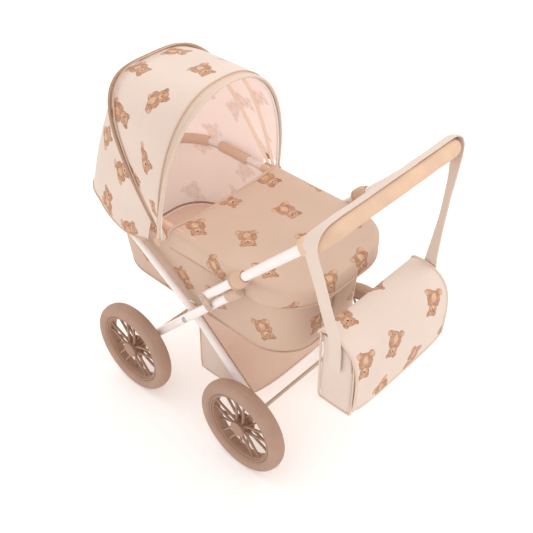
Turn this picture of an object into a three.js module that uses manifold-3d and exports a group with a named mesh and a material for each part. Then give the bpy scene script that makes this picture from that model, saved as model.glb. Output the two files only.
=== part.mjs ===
// A folding doll pram: crossed tube chassis on four spoked wheels, a soft cot with an apron and a
// three-bow hood, a folding push handle with a hung bag, and a fabric basket below the cot.
// Millimetres, +Z up, travel towards -Y, push handle at +Y, floor at Z = 0, symmetric about X = 0.
import * as THREE from "three";
import { mergeVertices } from "three/addons/utils/BufferGeometryUtils.js";
import Module from "manifold-3d";

// ---------------------------------------------------------------- driving dimensions
const SHIFT_Y = -6.46; // moves the whole pram so that its bounding box is centred on Y = 0
const GAP = 0.3; // running gap between neighbouring pieces

const WHEEL_R = 80;
const WHEEL_X = 149; // wheel mid plane
const HALF_WHEELBASE = 123;
const TYRE_FACETS = 24; // flat facets, one of them level at the bottom
const TYRE_HALF_WIDTH = 13.5;
const TYRE_INNER_R = 61;
const AXLE_R = 3;
const AXLE_Z = WHEEL_R * Math.cos(Math.PI / TYRE_FACETS);
const SPOKE_PAIRS = 5;

const FRONT_TUBE_R = 7; // front legs and push handle
const REAR_TUBE_R = 6;
const FRONT_TUBE_X = 125;
const REAR_TUBE_X = 110;
const REAR_TOP_X = 114.5; // the rear legs spread outwards to pass outside the cot rim
const PIVOT = [-13, 198]; // where the legs cross: Y, Z
const REAR_TOP = [-175, 314.3]; // rear leg riveted to a bracket under the cot rim
const FRONT_LEG_ABOVE_PIVOT = 163;
const HANDLE_OFFSET = 16.7; // handle tube above the front leg tube, centre to centre
const LINK_AT = 89; // link plate, distance along the front leg above the pivot
const HANDLE_BAR = [249, 498]; // centre of the crossbar
const HANDLE_BAR_X = 139;
const HANDLE_START_X = 127;
const GRIP_R = 13;
const LOCK_AT = 181; // lock sleeve, distance along the handle above the pivot
const LOCK_LENGTH = 28;

const RIM_R = 5.5;
const RIM_X = 104;
const RIM_Z = 332;
const RIM_HEAD_Y = -255;
const RIM_FOOT_Y = 176;
const COT_X = 103;
const COT_BOTTOM_Z = 192;
const COT_WALL = 2;

const HOOD_PIN = [-60, 322]; // hinge of the hood bows: Y, Z
const HOOD_SHEET = 1.6;

const BAG_X = 103;
const BAG_Y = [225, 289];
const BAG_Z = [186, 314];
const STRAP_WIDTH = 20;
const STRAP_THICK = 2;

// ---------------------------------------------------------------- materials
function material(color, roughness, metalness = 0) {
  return new THREE.MeshStandardMaterial({ color, roughness, metalness });
}
const whitePaint = material(0xe9dedb, 0.35, 0.1);
const axlePaint = material(0xb08f7b, 0.5, 0.2);
const tanPlastic = material(0xc9a88c, 0.5);
const whitePlastic = material(0xe6dbe0, 0.45);
const wheelPlastic = material(0xa98873, 0.6);
const tyreFoam = material(0xb5937f, 0.85);
const gripFoam = material(0xdcb894, 0.9);
const steel = material(0xa9b0b4, 0.3, 1);
const printFabric = material(0xe3cdb9, 0.95);
const liningFabric = material(0xeddad2, 0.95);
const strapFabric = material(0xe8d8cb, 0.95);
const mattressFabric = material(0xd2bdb2, 0.95);
const board = material(0xb59a7c, 0.8);

// ---------------------------------------------------------------- solids
const wasm = await Module();
wasm.setup();

// A closed geometry as a solid that can be joined and cut.
function solid(geometry) {
  const bare = geometry.clone();
  bare.deleteAttribute("normal");
  bare.deleteAttribute("uv");
  const merged = mergeVertices(bare, 1e-4);
  return new wasm.Manifold(
    new wasm.Mesh({
      numProp: 3,
      vertProperties: merged.attributes.position.array,
      triVerts: new Uint32Array(merged.index.array),
    }),
  );
}

// A solid back as a geometry.
function geometryOf(body) {
  const mesh = body.getMesh();
  const geometry = new THREE.BufferGeometry();
  geometry.setAttribute("position", new THREE.BufferAttribute(mesh.vertProperties, 3));
  geometry.setIndex(new THREE.BufferAttribute(mesh.triVerts, 1));
  return geometry;
}

const pram = new THREE.Group();
pram.position.y = SHIFT_Y;

function add(name, shape, finish) {
  const geometry = shape.isBufferGeometry ? shape : geometryOf(shape);
  const mesh = new THREE.Mesh(geometry, finish);
  mesh.name = name;
  pram.add(mesh);
  return mesh;
}

const vec = (x, y, z) => new THREE.Vector3(x, y, z);

// A straight round bar from one point to another.
function bar(from, to, radius, sides = 14) {
  const length = from.distanceTo(to);
  const geometry = new THREE.CylinderGeometry(radius, radius, length, sides);
  const turn = new THREE.Quaternion().setFromUnitVectors(
    vec(0, 1, 0),
    to.clone().sub(from).normalize(),
  );
  geometry.applyQuaternion(turn);
  const middle = from.clone().add(to).multiplyScalar(0.5);
  return geometry.translate(middle.x, middle.y, middle.z);
}

// A round bar along X, at a place given by Y and Z.
const crossBar = (x0, x1, [y, z], radius, sides = 14) => bar(vec(x0, y, z), vec(x1, y, z), radius, sides);

function circle(radius, sides) {
  const shape = new THREE.Shape();
  for (let i = 0; i < sides; i++) {
    const a = (2 * Math.PI * (i + 0.5)) / sides;
    const move = i === 0 ? "moveTo" : "lineTo";
    shape[move](radius * Math.cos(a), radius * Math.sin(a));
  }
  shape.closePath();
  return shape;
}

// A bent round tube through points.
function bentTube(points, radius, steps, sides = 10) {
  const path = new THREE.CatmullRomCurve3(points, false, "centripetal");
  return new THREE.ExtrudeGeometry(circle(radius, sides), { steps, extrudePath: path });
}

// A closed skin over a grid of points: rings[i][j]. The rings close on themselves, and the first
// and last ring are capped by a fan about their middle.
function loft(rings) {
  const positions = [];
  const index = [];
  const n = rings[0].length;
  const m = rings.length;
  for (const ring of rings) for (const p of ring) positions.push(p.x, p.y, p.z);
  for (let i = 0; i + 1 < m; i++) {
    for (let j = 0; j < n; j++) {
      const k = (j + 1) % n;
      const a = i * n + j;
      const b = i * n + k;
      const c = a + n;
      const d = b + n;
      index.push(a, b, d, a, d, c);
    }
  }
  for (const [i, flip] of [[0, true], [m - 1, false]]) {
    const middle = vec(0, 0, 0);
    for (const p of rings[i]) middle.addScaledVector(p, 1 / n);
    const centre = positions.length / 3;
    positions.push(middle.x, middle.y, middle.z);
    for (let j = 0; j < n; j++) {
      const a = i * n + j;
      const b = i * n + ((j + 1) % n);
      index.push(...(flip ? [b, a, centre] : [a, b, centre]));
    }
  }
  const geometry = new THREE.BufferGeometry();
  geometry.setAttribute("position", new THREE.Float32BufferAttribute(positions, 3));
  geometry.setIndex(index);
  return outward(geometry);
}

// Turns the faces round if they point inwards.
function outward(geometry) {
  const p = geometry.attributes.position;
  const order = geometry.index;
  let volume = 0;
  const a = vec(0, 0, 0);
  const b = vec(0, 0, 0);
  const c = vec(0, 0, 0);
  for (let i = 0; i < order.count; i += 3) {
    a.fromBufferAttribute(p, order.getX(i));
    b.fromBufferAttribute(p, order.getX(i + 1));
    c.fromBufferAttribute(p, order.getX(i + 2));
    volume += a.dot(b.cross(c));
  }
  if (volume < 0) {
    for (let i = 0; i < order.count; i += 3) {
      const first = order.getX(i);
      order.setX(i, order.getX(i + 1));
      order.setX(i + 1, first);
    }
  }
  return geometry;
}

// A sheet of even thickness: rows of outer points and the matching inner points.
function sheet(outer, inner) {
  const rings = outer.map((row, i) => [...row, ...inner[i].slice().reverse()]);
  return loftStrip(rings);
}

// As loft, for rings that are thin strips: the end caps join each outer point to its inner one.
function loftStrip(rings) {
  const positions = [];
  const index = [];
  const n = rings[0].length;
  const m = rings.length;
  for (const ring of rings) for (const p of ring) positions.push(p.x, p.y, p.z);
  for (let i = 0; i + 1 < m; i++) {
    for (let j = 0; j < n; j++) {
      const k = (j + 1) % n;
      const a = i * n + j;
      const b = i * n + k;
      index.push(a, b, b + n, a, b + n, a + n);
    }
  }
  for (const [start, flip] of [[0, true], [(m - 1) * n, false]]) {
    for (let j = 0; j + 1 < n / 2; j++) {
      const a = start + j;
      const b = start + j + 1;
      const c = start + n - 2 - j;
      const d = start + n - 1 - j;
      index.push(...(flip ? [a, c, b, a, d, c] : [a, b, c, a, c, d]));
    }
  }
  const geometry = new THREE.BufferGeometry();
  geometry.setAttribute("position", new THREE.Float32BufferAttribute(positions, 3));
  geometry.setIndex(index);
  return outward(geometry);
}

// A rounded rectangle in plan, as a ring of points, with its own corner radius at each end.
function planRing(halfX, headY, footY, headR, footR, z, perCorner = 7) {
  const corners = [
    [halfX - footR, footY - footR, footR, 0],
    [-(halfX - footR), footY - footR, footR, 90],
    [-(halfX - headR), headY + headR, headR, 180],
    [halfX - headR, headY + headR, headR, 270],
  ];
  const ring = [];
  for (const [x, y, r, start] of corners) {
    for (let i = 0; i < perCorner; i++) {
      const a = THREE.MathUtils.degToRad(start + (90 * i) / (perCorner - 1));
      ring.push(vec(x + r * Math.cos(a), y + r * Math.sin(a), z));
    }
  }
  return ring;
}

// An upright block whose plan is a ring of points.
function block(ring, z0, z1) {
  return loft([ring.map((p) => vec(p.x, p.y, z0)), ring.map((p) => vec(p.x, p.y, z1))]);
}

function box(x0, x1, y0, y1, z0, z1) {
  const geometry = new THREE.BoxGeometry(x1 - x0, y1 - y0, z1 - z0);
  return geometry.translate((x0 + x1) / 2, (y0 + y1) / 2, (z0 + z1) / 2);
}

// Mirrored left and right copies: side is +1 or -1, label is left or right.
const SIDES = [
  [1, "left"],
  [-1, "right"],
];

// ---------------------------------------------------------------- chassis lines (Y, Z)
const legDirection = new THREE.Vector2(PIVOT[0] + HALF_WHEELBASE, PIVOT[1] - AXLE_Z).normalize();
const legUp = new THREE.Vector2(-legDirection.y, legDirection.x); // square to the leg, upwards

// A point beside the front leg: distance along it from the pivot, and distance above it.
function onLeg(along, above = 0) {
  return [
    PIVOT[0] + along * legDirection.x + above * legUp.x,
    PIVOT[1] + along * legDirection.y + above * legUp.y,
  ];
}

// ---------------------------------------------------------------- wheels
function tyre() {
  const crown = 4;
  const profile = [
    [TYRE_INNER_R, -9.5],
    [TYRE_INNER_R + 5, -12.8],
    [WHEEL_R - 9, -TYRE_HALF_WIDTH],
    [WHEEL_R - 3, -10.3],
    [WHEEL_R, -crown],
    [WHEEL_R, crown],
    [WHEEL_R - 3, 10.3],
    [WHEEL_R - 9, TYRE_HALF_WIDTH],
    [TYRE_INNER_R + 5, 12.8],
    [TYRE_INNER_R, 9.5],
    [TYRE_INNER_R, -9.5],
  ].map(([r, x]) => new THREE.Vector2(r, x));
  return new THREE.LatheGeometry(profile, TYRE_FACETS, Math.PI / TYRE_FACETS).rotateZ(-Math.PI / 2);
}

// One ring turned about X, from its inner and outer radii and its two faces.
function ring(innerR, outerR, x0, x1, sides) {
  const profile = [
    [innerR, x0],
    [outerR, x0],
    [outerR, x1],
    [innerR, x1],
    [innerR, x0],
  ].map(([r, x]) => new THREE.Vector2(r, x));
  return new THREE.LatheGeometry(profile, sides, Math.PI / sides).rotateZ(-Math.PI / 2);
}

const HUB_BORE_R = AXLE_R + GAP;
const HUB_FACE = 10; // hub end, outwards from the wheel's mid plane

// Rim band, hub barrel and two layers of paired spokes, as one moulding.
function rim() {
  const rimR = TYRE_INNER_R - GAP;
  let body = solid(ring(rimR - 5, rimR, -9, 9, TYRE_FACETS));
  body = body.add(solid(ring(HUB_BORE_R, 9.5, -11, HUB_FACE, 12)));
  const spokeLength = rimR - 4;
  for (const [layer, turn] of [[5.5, 0], [-5.5, Math.PI / SPOKE_PAIRS]]) {
    for (let i = 0; i < SPOKE_PAIRS; i++) {
      for (const lean of [-1, 1]) {
        const middle = turn + (2 * Math.PI * i) / SPOKE_PAIRS;
        const spoke = new THREE.BoxGeometry(4.5, 4, spokeLength - 6);
        spoke.translate(layer, 0, 6 + (spokeLength - 6) / 2);
        spoke.rotateX(lean * 0.09);
        spoke.translate(0, lean * -3.4, 0);
        spoke.rotateX(middle + lean * 0.16);
        body = body.add(solid(spoke));
      }
    }
  }
  return geometryOf(body);
}

const tyreShape = tyre();
const rimShape = rim();

for (const [side, label] of SIDES) {
  for (const [y, end] of [[-HALF_WHEELBASE, "front"], [HALF_WHEELBASE, "rear"]]) {
    const name = `${end}_${label}`;
    const outwards = side > 0 ? 0 : Math.PI;
    const cap = crossBar(HUB_FACE + GAP, HUB_FACE + GAP + 3, [0, 0], 11.5, 24);
    for (const [piece, shape, finish] of [
      ["tyre", tyreShape, tyreFoam],
      ["rim", rimShape, wheelPlastic],
      ["hub_cap", cap, tanPlastic],
    ]) {
      const placed = shape.clone().rotateZ(outwards);
      add(`${piece}_${name}`, placed.translate(side * WHEEL_X, y, AXLE_Z), finish);
    }
  }
}

// ---------------------------------------------------------------- axles and their spacers
const axleEnd = WHEEL_X + HUB_FACE - GAP;
for (const [y, end, tubeX, tubeR] of [
  [-HALF_WHEELBASE, "front", FRONT_TUBE_X, FRONT_TUBE_R],
  [HALF_WHEELBASE, "rear", REAR_TUBE_X, REAR_TUBE_R],
]) {
  add(`axle_${end}`, crossBar(-axleEnd, axleEnd, [y, AXLE_Z], AXLE_R, 12), axlePaint);
  for (const [side, label] of SIDES) {
    const x0 = tubeX + tubeR + GAP;
    const x1 = WHEEL_X - 11 - GAP;
    const spacer = ring(HUB_BORE_R, 6, x0, x1, 12).rotateZ(side > 0 ? 0 : Math.PI);
    add(`axle_spacer_${end}_${label}`, spacer.translate(0, y, AXLE_Z), tanPlastic);
  }
}

// ---------------------------------------------------------------- legs
const RIVET_R = 2;
const PIN_HOLE_R = RIVET_R + GAP;
const LEG_END = 8; // tube beyond the axle

function bored(tube, holes) {
  let body = tube;
  for (const [place, radius] of holes) body = body.subtract(solid(crossBar(-200, 200, place, radius, 12)));
  return body;
}

const linkLower = onLeg(LINK_AT);
const linkUpper = onLeg(LINK_AT, HANDLE_OFFSET);
const frontAxle = [-HALF_WHEELBASE, AXLE_Z];
const rearAxle = [HALF_WHEELBASE, AXLE_Z];
const axleAlong = -Math.hypot(PIVOT[0] + HALF_WHEELBASE, PIVOT[1] - AXLE_Z);

for (const [side, label] of SIDES) {
  const low = onLeg(axleAlong - LEG_END);
  const high = onLeg(FRONT_LEG_ABOVE_PIVOT);
  const x = side * FRONT_TUBE_X;
  const tube = solid(bar(vec(x, ...low), vec(x, ...high), FRONT_TUBE_R, 16));
  add(
    `front_leg_${label}`,
    bored(tube, [[frontAxle, AXLE_R + GAP], [PIVOT, PIN_HOLE_R], [linkLower, PIN_HOLE_R]]),
    whitePaint,
  );

  const rearX = side * REAR_TUBE_X;
  const rearDirection = new THREE.Vector2(rearAxle[0] - PIVOT[0], rearAxle[1] - PIVOT[1]).normalize();
  const foot = rearDirection.clone().multiplyScalar(LEG_END);
  const upDirection = new THREE.Vector2(REAR_TOP[0] - PIVOT[0], REAR_TOP[1] - PIVOT[1]).normalize();
  const topX = side * REAR_TOP_X;
  const rearTube = bentTube(
    [
      vec(topX, REAR_TOP[0] + 7 * upDirection.x, REAR_TOP[1] + 7 * upDirection.y),
      vec(topX, REAR_TOP[0] - 6 * upDirection.x, REAR_TOP[1] - 6 * upDirection.y),
      vec(side * 113, (REAR_TOP[0] + PIVOT[0]) / 2, (REAR_TOP[1] + PIVOT[1]) / 2 + 1),
      vec(rearX, PIVOT[0] + 30 * upDirection.x, PIVOT[1] + 30 * upDirection.y - 1),
      vec(rearX, ...PIVOT),
      vec(rearX, PIVOT[0] + 30 * rearDirection.x, PIVOT[1] + 30 * rearDirection.y),
      vec(rearX, ...rearAxle),
      vec(rearX, rearAxle[0] + foot.x, rearAxle[1] + foot.y),
    ],
    REAR_TUBE_R,
    14,
    12,
  );
  add(
    `rear_leg_${label}`,
    bored(solid(rearTube), [[rearAxle, AXLE_R + GAP], [PIVOT, PIN_HOLE_R], [REAR_TOP, PIN_HOLE_R]]),
    whitePaint,
  );
}

// A rivet along X, with a round head on its outer end.
function rivet(side, x0, x1, place, headR = 4) {
  const head = crossBar(side * x1, side * (x1 + 1.8), place, headR, 12);
  return solid(crossBar(side * x0, side * (x1 + 0.5), place, RIVET_R, 10)).add(solid(head));
}

const frontFace = FRONT_TUBE_X + FRONT_TUBE_R;
for (const [side, label] of SIDES) {
  add(`pivot_rivet_${label}`, rivet(side, 104.5, frontFace + GAP, PIVOT), steel);

  // The spacer is a saddle on the rear leg. Its flat face lets the front leg turn past it.
  const blank = crossBar(side * 112, side * (FRONT_TUBE_X - FRONT_TUBE_R - 0.4), PIVOT, 8.5, 20);
  const saddleR = REAR_TUBE_R + 1;
  const saddle = bar(vec(side * REAR_TUBE_X, -200, 0), vec(side * REAR_TUBE_X, 200, 0), saddleR, 24);
  const rearLean = Math.atan2(PIVOT[1] - rearAxle[1], PIVOT[0] - rearAxle[0]);
  saddle.rotateX(rearLean).translate(0, ...PIVOT);
  const pin = crossBar(-200, 200, PIVOT, PIN_HOLE_R, 12);
  const spacer = solid(blank).subtract(solid(saddle)).subtract(solid(pin));
  const pieces = spacer.decompose().sort((a, b) => b.volume() - a.volume());
  add(`pivot_spacer_${label}`, pieces[0], whitePlastic);
}

// ---------------------------------------------------------------- push handle
const linkThick = 2;
const linkX = HANDLE_START_X + FRONT_TUBE_R + 0.6;
for (const [side, label] of SIDES) {
  const x0 = side * linkX;
  const x1 = side * (linkX + linkThick);
  let plate = solid(crossBar(x0, x1, linkLower, 6.5, 18)).add(solid(crossBar(x0, x1, linkUpper, 6.5, 18)));
  const web = box(Math.min(x0, x1), Math.max(x0, x1), -6.5, 6.5, -HANDLE_OFFSET / 2, HANDLE_OFFSET / 2);
  web.rotateX(Math.atan2(legDirection.y, legDirection.x));
  web.translate(0, ...onLeg(LINK_AT, HANDLE_OFFSET / 2));
  plate = plate.add(solid(web));
  add(`link_plate_${label}`, bored(plate, [[linkLower, PIN_HOLE_R], [linkUpper, PIN_HOLE_R]]), tanPlastic);
  const outer = linkX + linkThick + GAP;
  add(`link_rivet_lower_${label}`, rivet(side, FRONT_TUBE_X - 6, outer, linkLower, 3.8), steel);
  add(`link_rivet_upper_${label}`, rivet(side, HANDLE_START_X - 6, outer, linkUpper, 3.8), steel);
}

// Half of the U: from the tube's lower end to the middle of the crossbar.
const handleLow = onLeg(LINK_AT - 5.2, HANDLE_OFFSET);
const BEND_R = 26;
function handleHalf(side) {
  const points = [];
  const length = Math.hypot(HANDLE_BAR[0] - handleLow[0], HANDLE_BAR[1] - handleLow[1]);
  const straight = length - BEND_R;
  const place = (t) => [
    handleLow[0] + (t / length) * (HANDLE_BAR[0] - handleLow[0]),
    handleLow[1] + (t / length) * (HANDLE_BAR[1] - handleLow[1]),
  ];
  const spread = (t) => HANDLE_START_X + ((HANDLE_BAR_X - HANDLE_START_X) * t) / length;
  for (let i = 0; i <= 6; i++) {
    const t = (straight * i) / 6;
    points.push(vec(side * spread(t), ...place(t)));
  }
  for (let i = 1; i <= 6; i++) {
    const a = (Math.PI / 2) * (i / 6);
    const x = HANDLE_BAR_X - BEND_R + BEND_R * Math.cos(a);
    points.push(vec(side * x, ...place(straight + BEND_R * Math.sin(a))));
  }
  return points;
}
const handleLine = [...handleHalf(1), vec(0, ...HANDLE_BAR), ...handleHalf(-1).reverse()];
const handleTube = solid(bentTube(handleLine, FRONT_TUBE_R, 48, 10));
add("handle_frame", bored(handleTube, [[linkUpper, PIN_HOLE_R]]), whitePaint);

// The foam grip covers the crossbar, the bends and a short length of each leg.
const foamLine = handleLine.filter((p) => p.z > 450);
const foamOuter = solid(bentTube(foamLine, GRIP_R, 30, 12));
const foamBore = solid(bentTube(handleLine, FRONT_TUBE_R + GAP, 48, 10));
add("foam_grip", foamOuter.subtract(foamBore), gripFoam);

// ---------------------------------------------------------------- handle locks
const handleDirection = new THREE.Vector2(HANDLE_BAR[0] - handleLow[0], HANDLE_BAR[1] - handleLow[1]);
const handleLength = handleDirection.length();
handleDirection.normalize();
const handleLean = Math.atan2(handleDirection.y, handleDirection.x);
const handleSpread = Math.atan2(HANDLE_BAR_X - HANDLE_START_X, handleLength);

// A point on the handle's leg, by its distance from the tube's lower end.
function onHandle(side, t) {
  const x = HANDLE_START_X + ((HANDLE_BAR_X - HANDLE_START_X) * t) / handleLength;
  return vec(side * x, handleLow[0] + t * handleDirection.x, handleLow[1] + t * handleDirection.y);
}
const lockT = LOCK_AT - LINK_AT + 6;

for (const [side, label] of SIDES) {
  const outline = [
    [FRONT_TUBE_R + 1, 0],
    [10.5, 0],
    [12.3, 2],
    [12.9, 8],
    [12.9, LOCK_LENGTH - 9],
    [11.2, LOCK_LENGTH - 3],
    [9, LOCK_LENGTH],
    [FRONT_TUBE_R + 1, LOCK_LENGTH],
    [FRONT_TUBE_R + 1, 0],
  ].map(([r, h]) => new THREE.Vector2(r, h));
  const sleeve = new THREE.LatheGeometry(outline, 16);
  sleeve.rotateZ(-side * handleSpread);
  sleeve.rotateX(handleLean);
  const place = onHandle(side, lockT);
  add(`handle_lock_${label}`, sleeve.translate(place.x, place.y, place.z), tanPlastic);
}

// ---------------------------------------------------------------- cot frame
// The rim is one tube bent to a level U, round the head end and open towards the feet.
function rimLine() {
  const headR = 92;
  const points = [];
  for (const y of [120, 60, 0, -60, -120]) points.push(vec(RIM_X, y, RIM_Z));
  for (let i = 0; i <= 8; i++) {
    const a = (Math.PI / 2) * (i / 8);
    const x = RIM_X - headR + headR * Math.cos(a);
    points.push(vec(x, RIM_HEAD_Y + headR - headR * Math.sin(a), RIM_Z));
  }
  const mirrored = points.map((p) => vec(-p.x, p.y, p.z)).reverse();
  return [...points, ...mirrored];
}
add("rim_tube", bentTube(rimLine(), RIM_R, 44, 8), whitePaint);

const pinHead = 1.5;
for (const [side, label] of SIDES) {
  const place = REAR_TOP;
  const ear = box(104.8, 107.8, place[0] - 9, place[0] + 9, place[1], RIM_Z - RIM_R - GAP);
  let bracket = solid(side > 0 ? ear : ear.rotateZ(Math.PI).translate(0, 2 * place[0], 0));
  bracket = bracket.add(solid(crossBar(side * 104.8, side * 107.8, place, 9, 24)));
  add(`rim_bracket_${label}`, bored(bracket, [[place, PIN_HOLE_R]]), steel);
  const face = REAR_TOP_X + REAR_TUBE_R + GAP;
  const shank = solid(crossBar(side * 104.2, side * (face + 0.4), place, RIVET_R, 10));
  const cap = solid(crossBar(side * face, side * (face + pinHead), place, 4, 12));
  add(`leg_top_rivet_${label}`, shank.add(cap), steel);

  // The hood's bows all turn on one pin through a bracket on the outer side of the rim.
  const x0 = RIM_X + RIM_R + GAP;
  const plateBlank = box(x0, x0 + 3.4, HOOD_PIN[0] - 12, HOOD_PIN[0] + 12, HOOD_PIN[1] - 7, RIM_Z + 5);
  let plate = solid(side > 0 ? plateBlank : plateBlank.rotateZ(Math.PI).translate(0, 2 * HOOD_PIN[0], 0));
  plate = bored(plate, [[HOOD_PIN, PIN_HOLE_R]]);
  add(`hood_bracket_${label}`, plate, tanPlastic);
  const pin = solid(crossBar(side * (x0 + 0.5), side * 127.2, HOOD_PIN, RIVET_R, 10));
  add(`hood_pin_${label}`, pin.add(solid(crossBar(side * 127, side * 128.8, HOOD_PIN, 4.5, 16))), steel);
}

// ---------------------------------------------------------------- cot
function cotRing(inset, z) {
  const t = (z - COT_BOTTOM_Z) / (RIM_Z - RIM_R - COT_BOTTOM_Z);
  const halfX = 96 + (COT_X - 96) * t - inset;
  const head = -222 + (RIM_HEAD_Y + 222) * t + inset;
  const foot = 160 + (RIM_FOOT_Y - 160) * t - inset;
  return planRing(halfX, head, foot, 80 + 10 * t - inset, 60 + 8 * t - inset, z);
}
const cotTop = RIM_Z - RIM_R - 0.6;
add(
  "cot_tub",
  loft([
    cotRing(0, COT_BOTTOM_Z),
    cotRing(0, cotTop),
    cotRing(COT_WALL, cotTop),
    cotRing(COT_WALL, COT_BOTTOM_Z + COT_WALL),
  ]),
  printFabric,
);

const boardZ = COT_BOTTOM_Z + COT_WALL + 0.4;
const mattressZ = boardZ + 3.4;
add("base_board", block(planRing(88, -206, 148, 66, 50, 0, 5), boardZ, boardZ + 3), board);
const mattressRings = [
  [5, 0],
  [0, 7],
  [0, 22],
  [5, 29],
].map(([inset, up]) => planRing(90 - inset, -208 + inset, 150 - inset, 64, 48, mattressZ + up, 6));
add("mattress", loft(mattressRings), mattressFabric);

// The apron is a stretched cover over the foot half, with a short skirt outside the rim.
const APRON_TOP = 341;
const APRON_HEM = 310;
const APRON_HEAD_Y = -50;
function apron() {
  const outerX = 117.2;
  const shell = (inset, top, bottom) => {
    const outline = (z) => planRing(outerX - inset, -330, 192 - inset, 75, 78 - inset, z);
    return block(outline(0), bottom, top);
  };
  let body = solid(shell(0, APRON_TOP, APRON_HEM)).subtract(solid(shell(2, APRON_TOP - 2, 200)));
  body = body.subtract(solid(box(-200, 200, -400, APRON_HEAD_Y, 200, 400)));
  return body.subtract(solid(box(-200, 200, -400, -30, 200, APRON_TOP - 2)));
}
add("apron", apron(), printFabric);

// ---------------------------------------------------------------- hood
const BOW_R = 2;
const BOWS = {
  rear: { x: 115.8, reach: 238, lean: 55 },
  mid: { x: 120.2, reach: 214, lean: 74 },
  front: { x: 124.6, reach: 214, lean: 95.7 },
};

// A point on a squarish arch of a given half width and reach, tipped by lean degrees about the pin.
// The arches further back have squarer shoulders.
function onArch(halfX, reach, lean, t) {
  const square = THREE.MathUtils.clamp(3.6 - (lean - 55) * 0.0319, 2.3, 3.6);
  const power = 2 / square;
  const c = Math.cos(t);
  const x = halfX * Math.sign(c) * Math.abs(c) ** power;
  const up = reach * Math.abs(Math.sin(t)) ** power;
  const a = THREE.MathUtils.degToRad(lean);
  return vec(x, HOOD_PIN[0] - up * Math.cos(a), HOOD_PIN[1] + up * Math.sin(a));
}

for (const [name, { x, reach, lean }] of Object.entries(BOWS)) {
  const points = [];
  for (let i = 0; i <= 24; i++) {
    const t = Math.PI * (0.008 + (0.984 * i) / 24);
    points.push(onArch(x, reach, lean, t));
  }
  const low = onArch(x, reach, lean, Math.PI * 0.0001);
  points.unshift(vec(low.x, HOOD_PIN[0], HOOD_PIN[1] + 3));
  points.push(vec(-low.x, HOOD_PIN[0], HOOD_PIN[1] + 3));
  let bow = solid(bentTube(points, BOW_R, 34, 6));
  for (const side of [1, -1]) {
    const eye = crossBar(side * (x - BOW_R), side * (x + BOW_R), HOOD_PIN, 6, 16);
    bow = bow.add(solid(eye));
  }
  add(`hood_bow_${name}`, bored(bow, [[HOOD_PIN, PIN_HOLE_R]]), whitePlastic);
}

// Cloth between two bows, lying over them. Its lower corners stay clear of the pins. Pull is how
// far the cloth between its two edges is drawn straight.
function hoodPanel(from, to, rows, pull = 0) {
  const outer = [];
  const inner = [];
  for (let i = 0; i <= rows; i++) {
    const s = i / rows;
    const mix = (key) => from[key] + (to[key] - from[key]) * s;
    const skin = (lift) => {
      const row = [];
      for (let j = 0; j <= 28; j++) {
        const t = 0.16 + ((Math.PI - 0.32) * j) / 28;
        row.push(onArch(mix("x") + lift, mix("reach") + lift, mix("lean"), t));
      }
      return row;
    };
    outer.push(skin(BOW_R + 2.2 + HOOD_SHEET));
    inner.push(skin(BOW_R + 2.2));
  }
  for (const layer of [outer, inner]) {
    for (let j = 0; j < layer[0].length; j++) {
      const low = layer[0][j].clone();
      const high = layer[rows][j].clone();
      for (let i = 1; i < rows; i++) layer[i][j].lerp(low.clone().lerp(high, i / rows), pull);
    }
  }
  return sheet(outer, inner);
}
add("hood_panel_front", hoodPanel({ ...BOWS.mid, lean: 75 }, { ...BOWS.front, lean: 98 }, 3), printFabric);
add("hood_panel_rear", hoodPanel(BOWS.rear, { ...BOWS.mid, lean: 74.5 }, 3), printFabric);
const curtainEdge = { x: 124, reach: 212, lean: 2 };
const curtainTop = { ...BOWS.rear, lean: 54.6 };
add("hood_curtain", hoodPanel(curtainEdge, curtainTop, 6, 0.75), printFabric);

// ---------------------------------------------------------------- basket
const BASKET_X = 101;
function basket() {
  const wall = 2;
  const tip = [-13, 190];
  const low = [-18, 72];
  const back = [100, 92];
  const profile = new THREE.Shape();
  profile.moveTo(...tip);
  profile.lineTo(...low);
  profile.lineTo(100, 72);
  profile.lineTo(...back);
  profile.closePath();
  const full = new THREE.ExtrudeGeometry(profile, { depth: 2 * BASKET_X, bevelEnabled: false });
  full.rotateX(Math.PI / 2).rotateZ(Math.PI / 2).translate(-BASKET_X, 0, 0);
  const hollow = new THREE.Shape();
  hollow.moveTo(-18 + wall + 0.3, 72 + wall);
  hollow.lineTo(140, 72 + wall);
  hollow.lineTo(140, 250);
  hollow.lineTo(-18 + wall + 0.3 + 7.5, 250);
  hollow.closePath();
  const room = new THREE.ExtrudeGeometry(hollow, { depth: 2 * (BASKET_X - wall), bevelEnabled: false });
  room.rotateX(Math.PI / 2).rotateZ(Math.PI / 2).translate(-BASKET_X + wall, 0, 0);
  return solid(full).subtract(solid(room));
}
add("basket", basket(), printFabric);

// ---------------------------------------------------------------- bag on the handle
function bagRing(inset, z, bulge = 0) {
  return planRing(BAG_X - inset, BAG_Y[0] + inset, BAG_Y[1] - 4 - inset + bulge, 14, 14, z, 4);
}
add(
  "bag_body",
  loft([
    bagRing(4, BAG_Z[0]),
    bagRing(0, BAG_Z[0] + 8),
    bagRing(0, BAG_Z[1] - 4),
    bagRing(2, BAG_Z[1] - 4),
    bagRing(2, BAG_Z[0] + 8),
    bagRing(6, BAG_Z[0] + 2),
  ]),
  printFabric,
);

const flapTop = solid(box(-BAG_X, BAG_X, BAG_Y[0] - 1, BAG_Y[1] + 1.6, BAG_Z[1] - 1, BAG_Z[1] + 1));
const flapFall = solid(box(-BAG_X, BAG_X, BAG_Y[1] - 0.4, BAG_Y[1] + 1.6, BAG_Z[0] + 14, BAG_Z[1] + 1));
add("bag_flap", flapTop.add(flapFall), printFabric);

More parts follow.
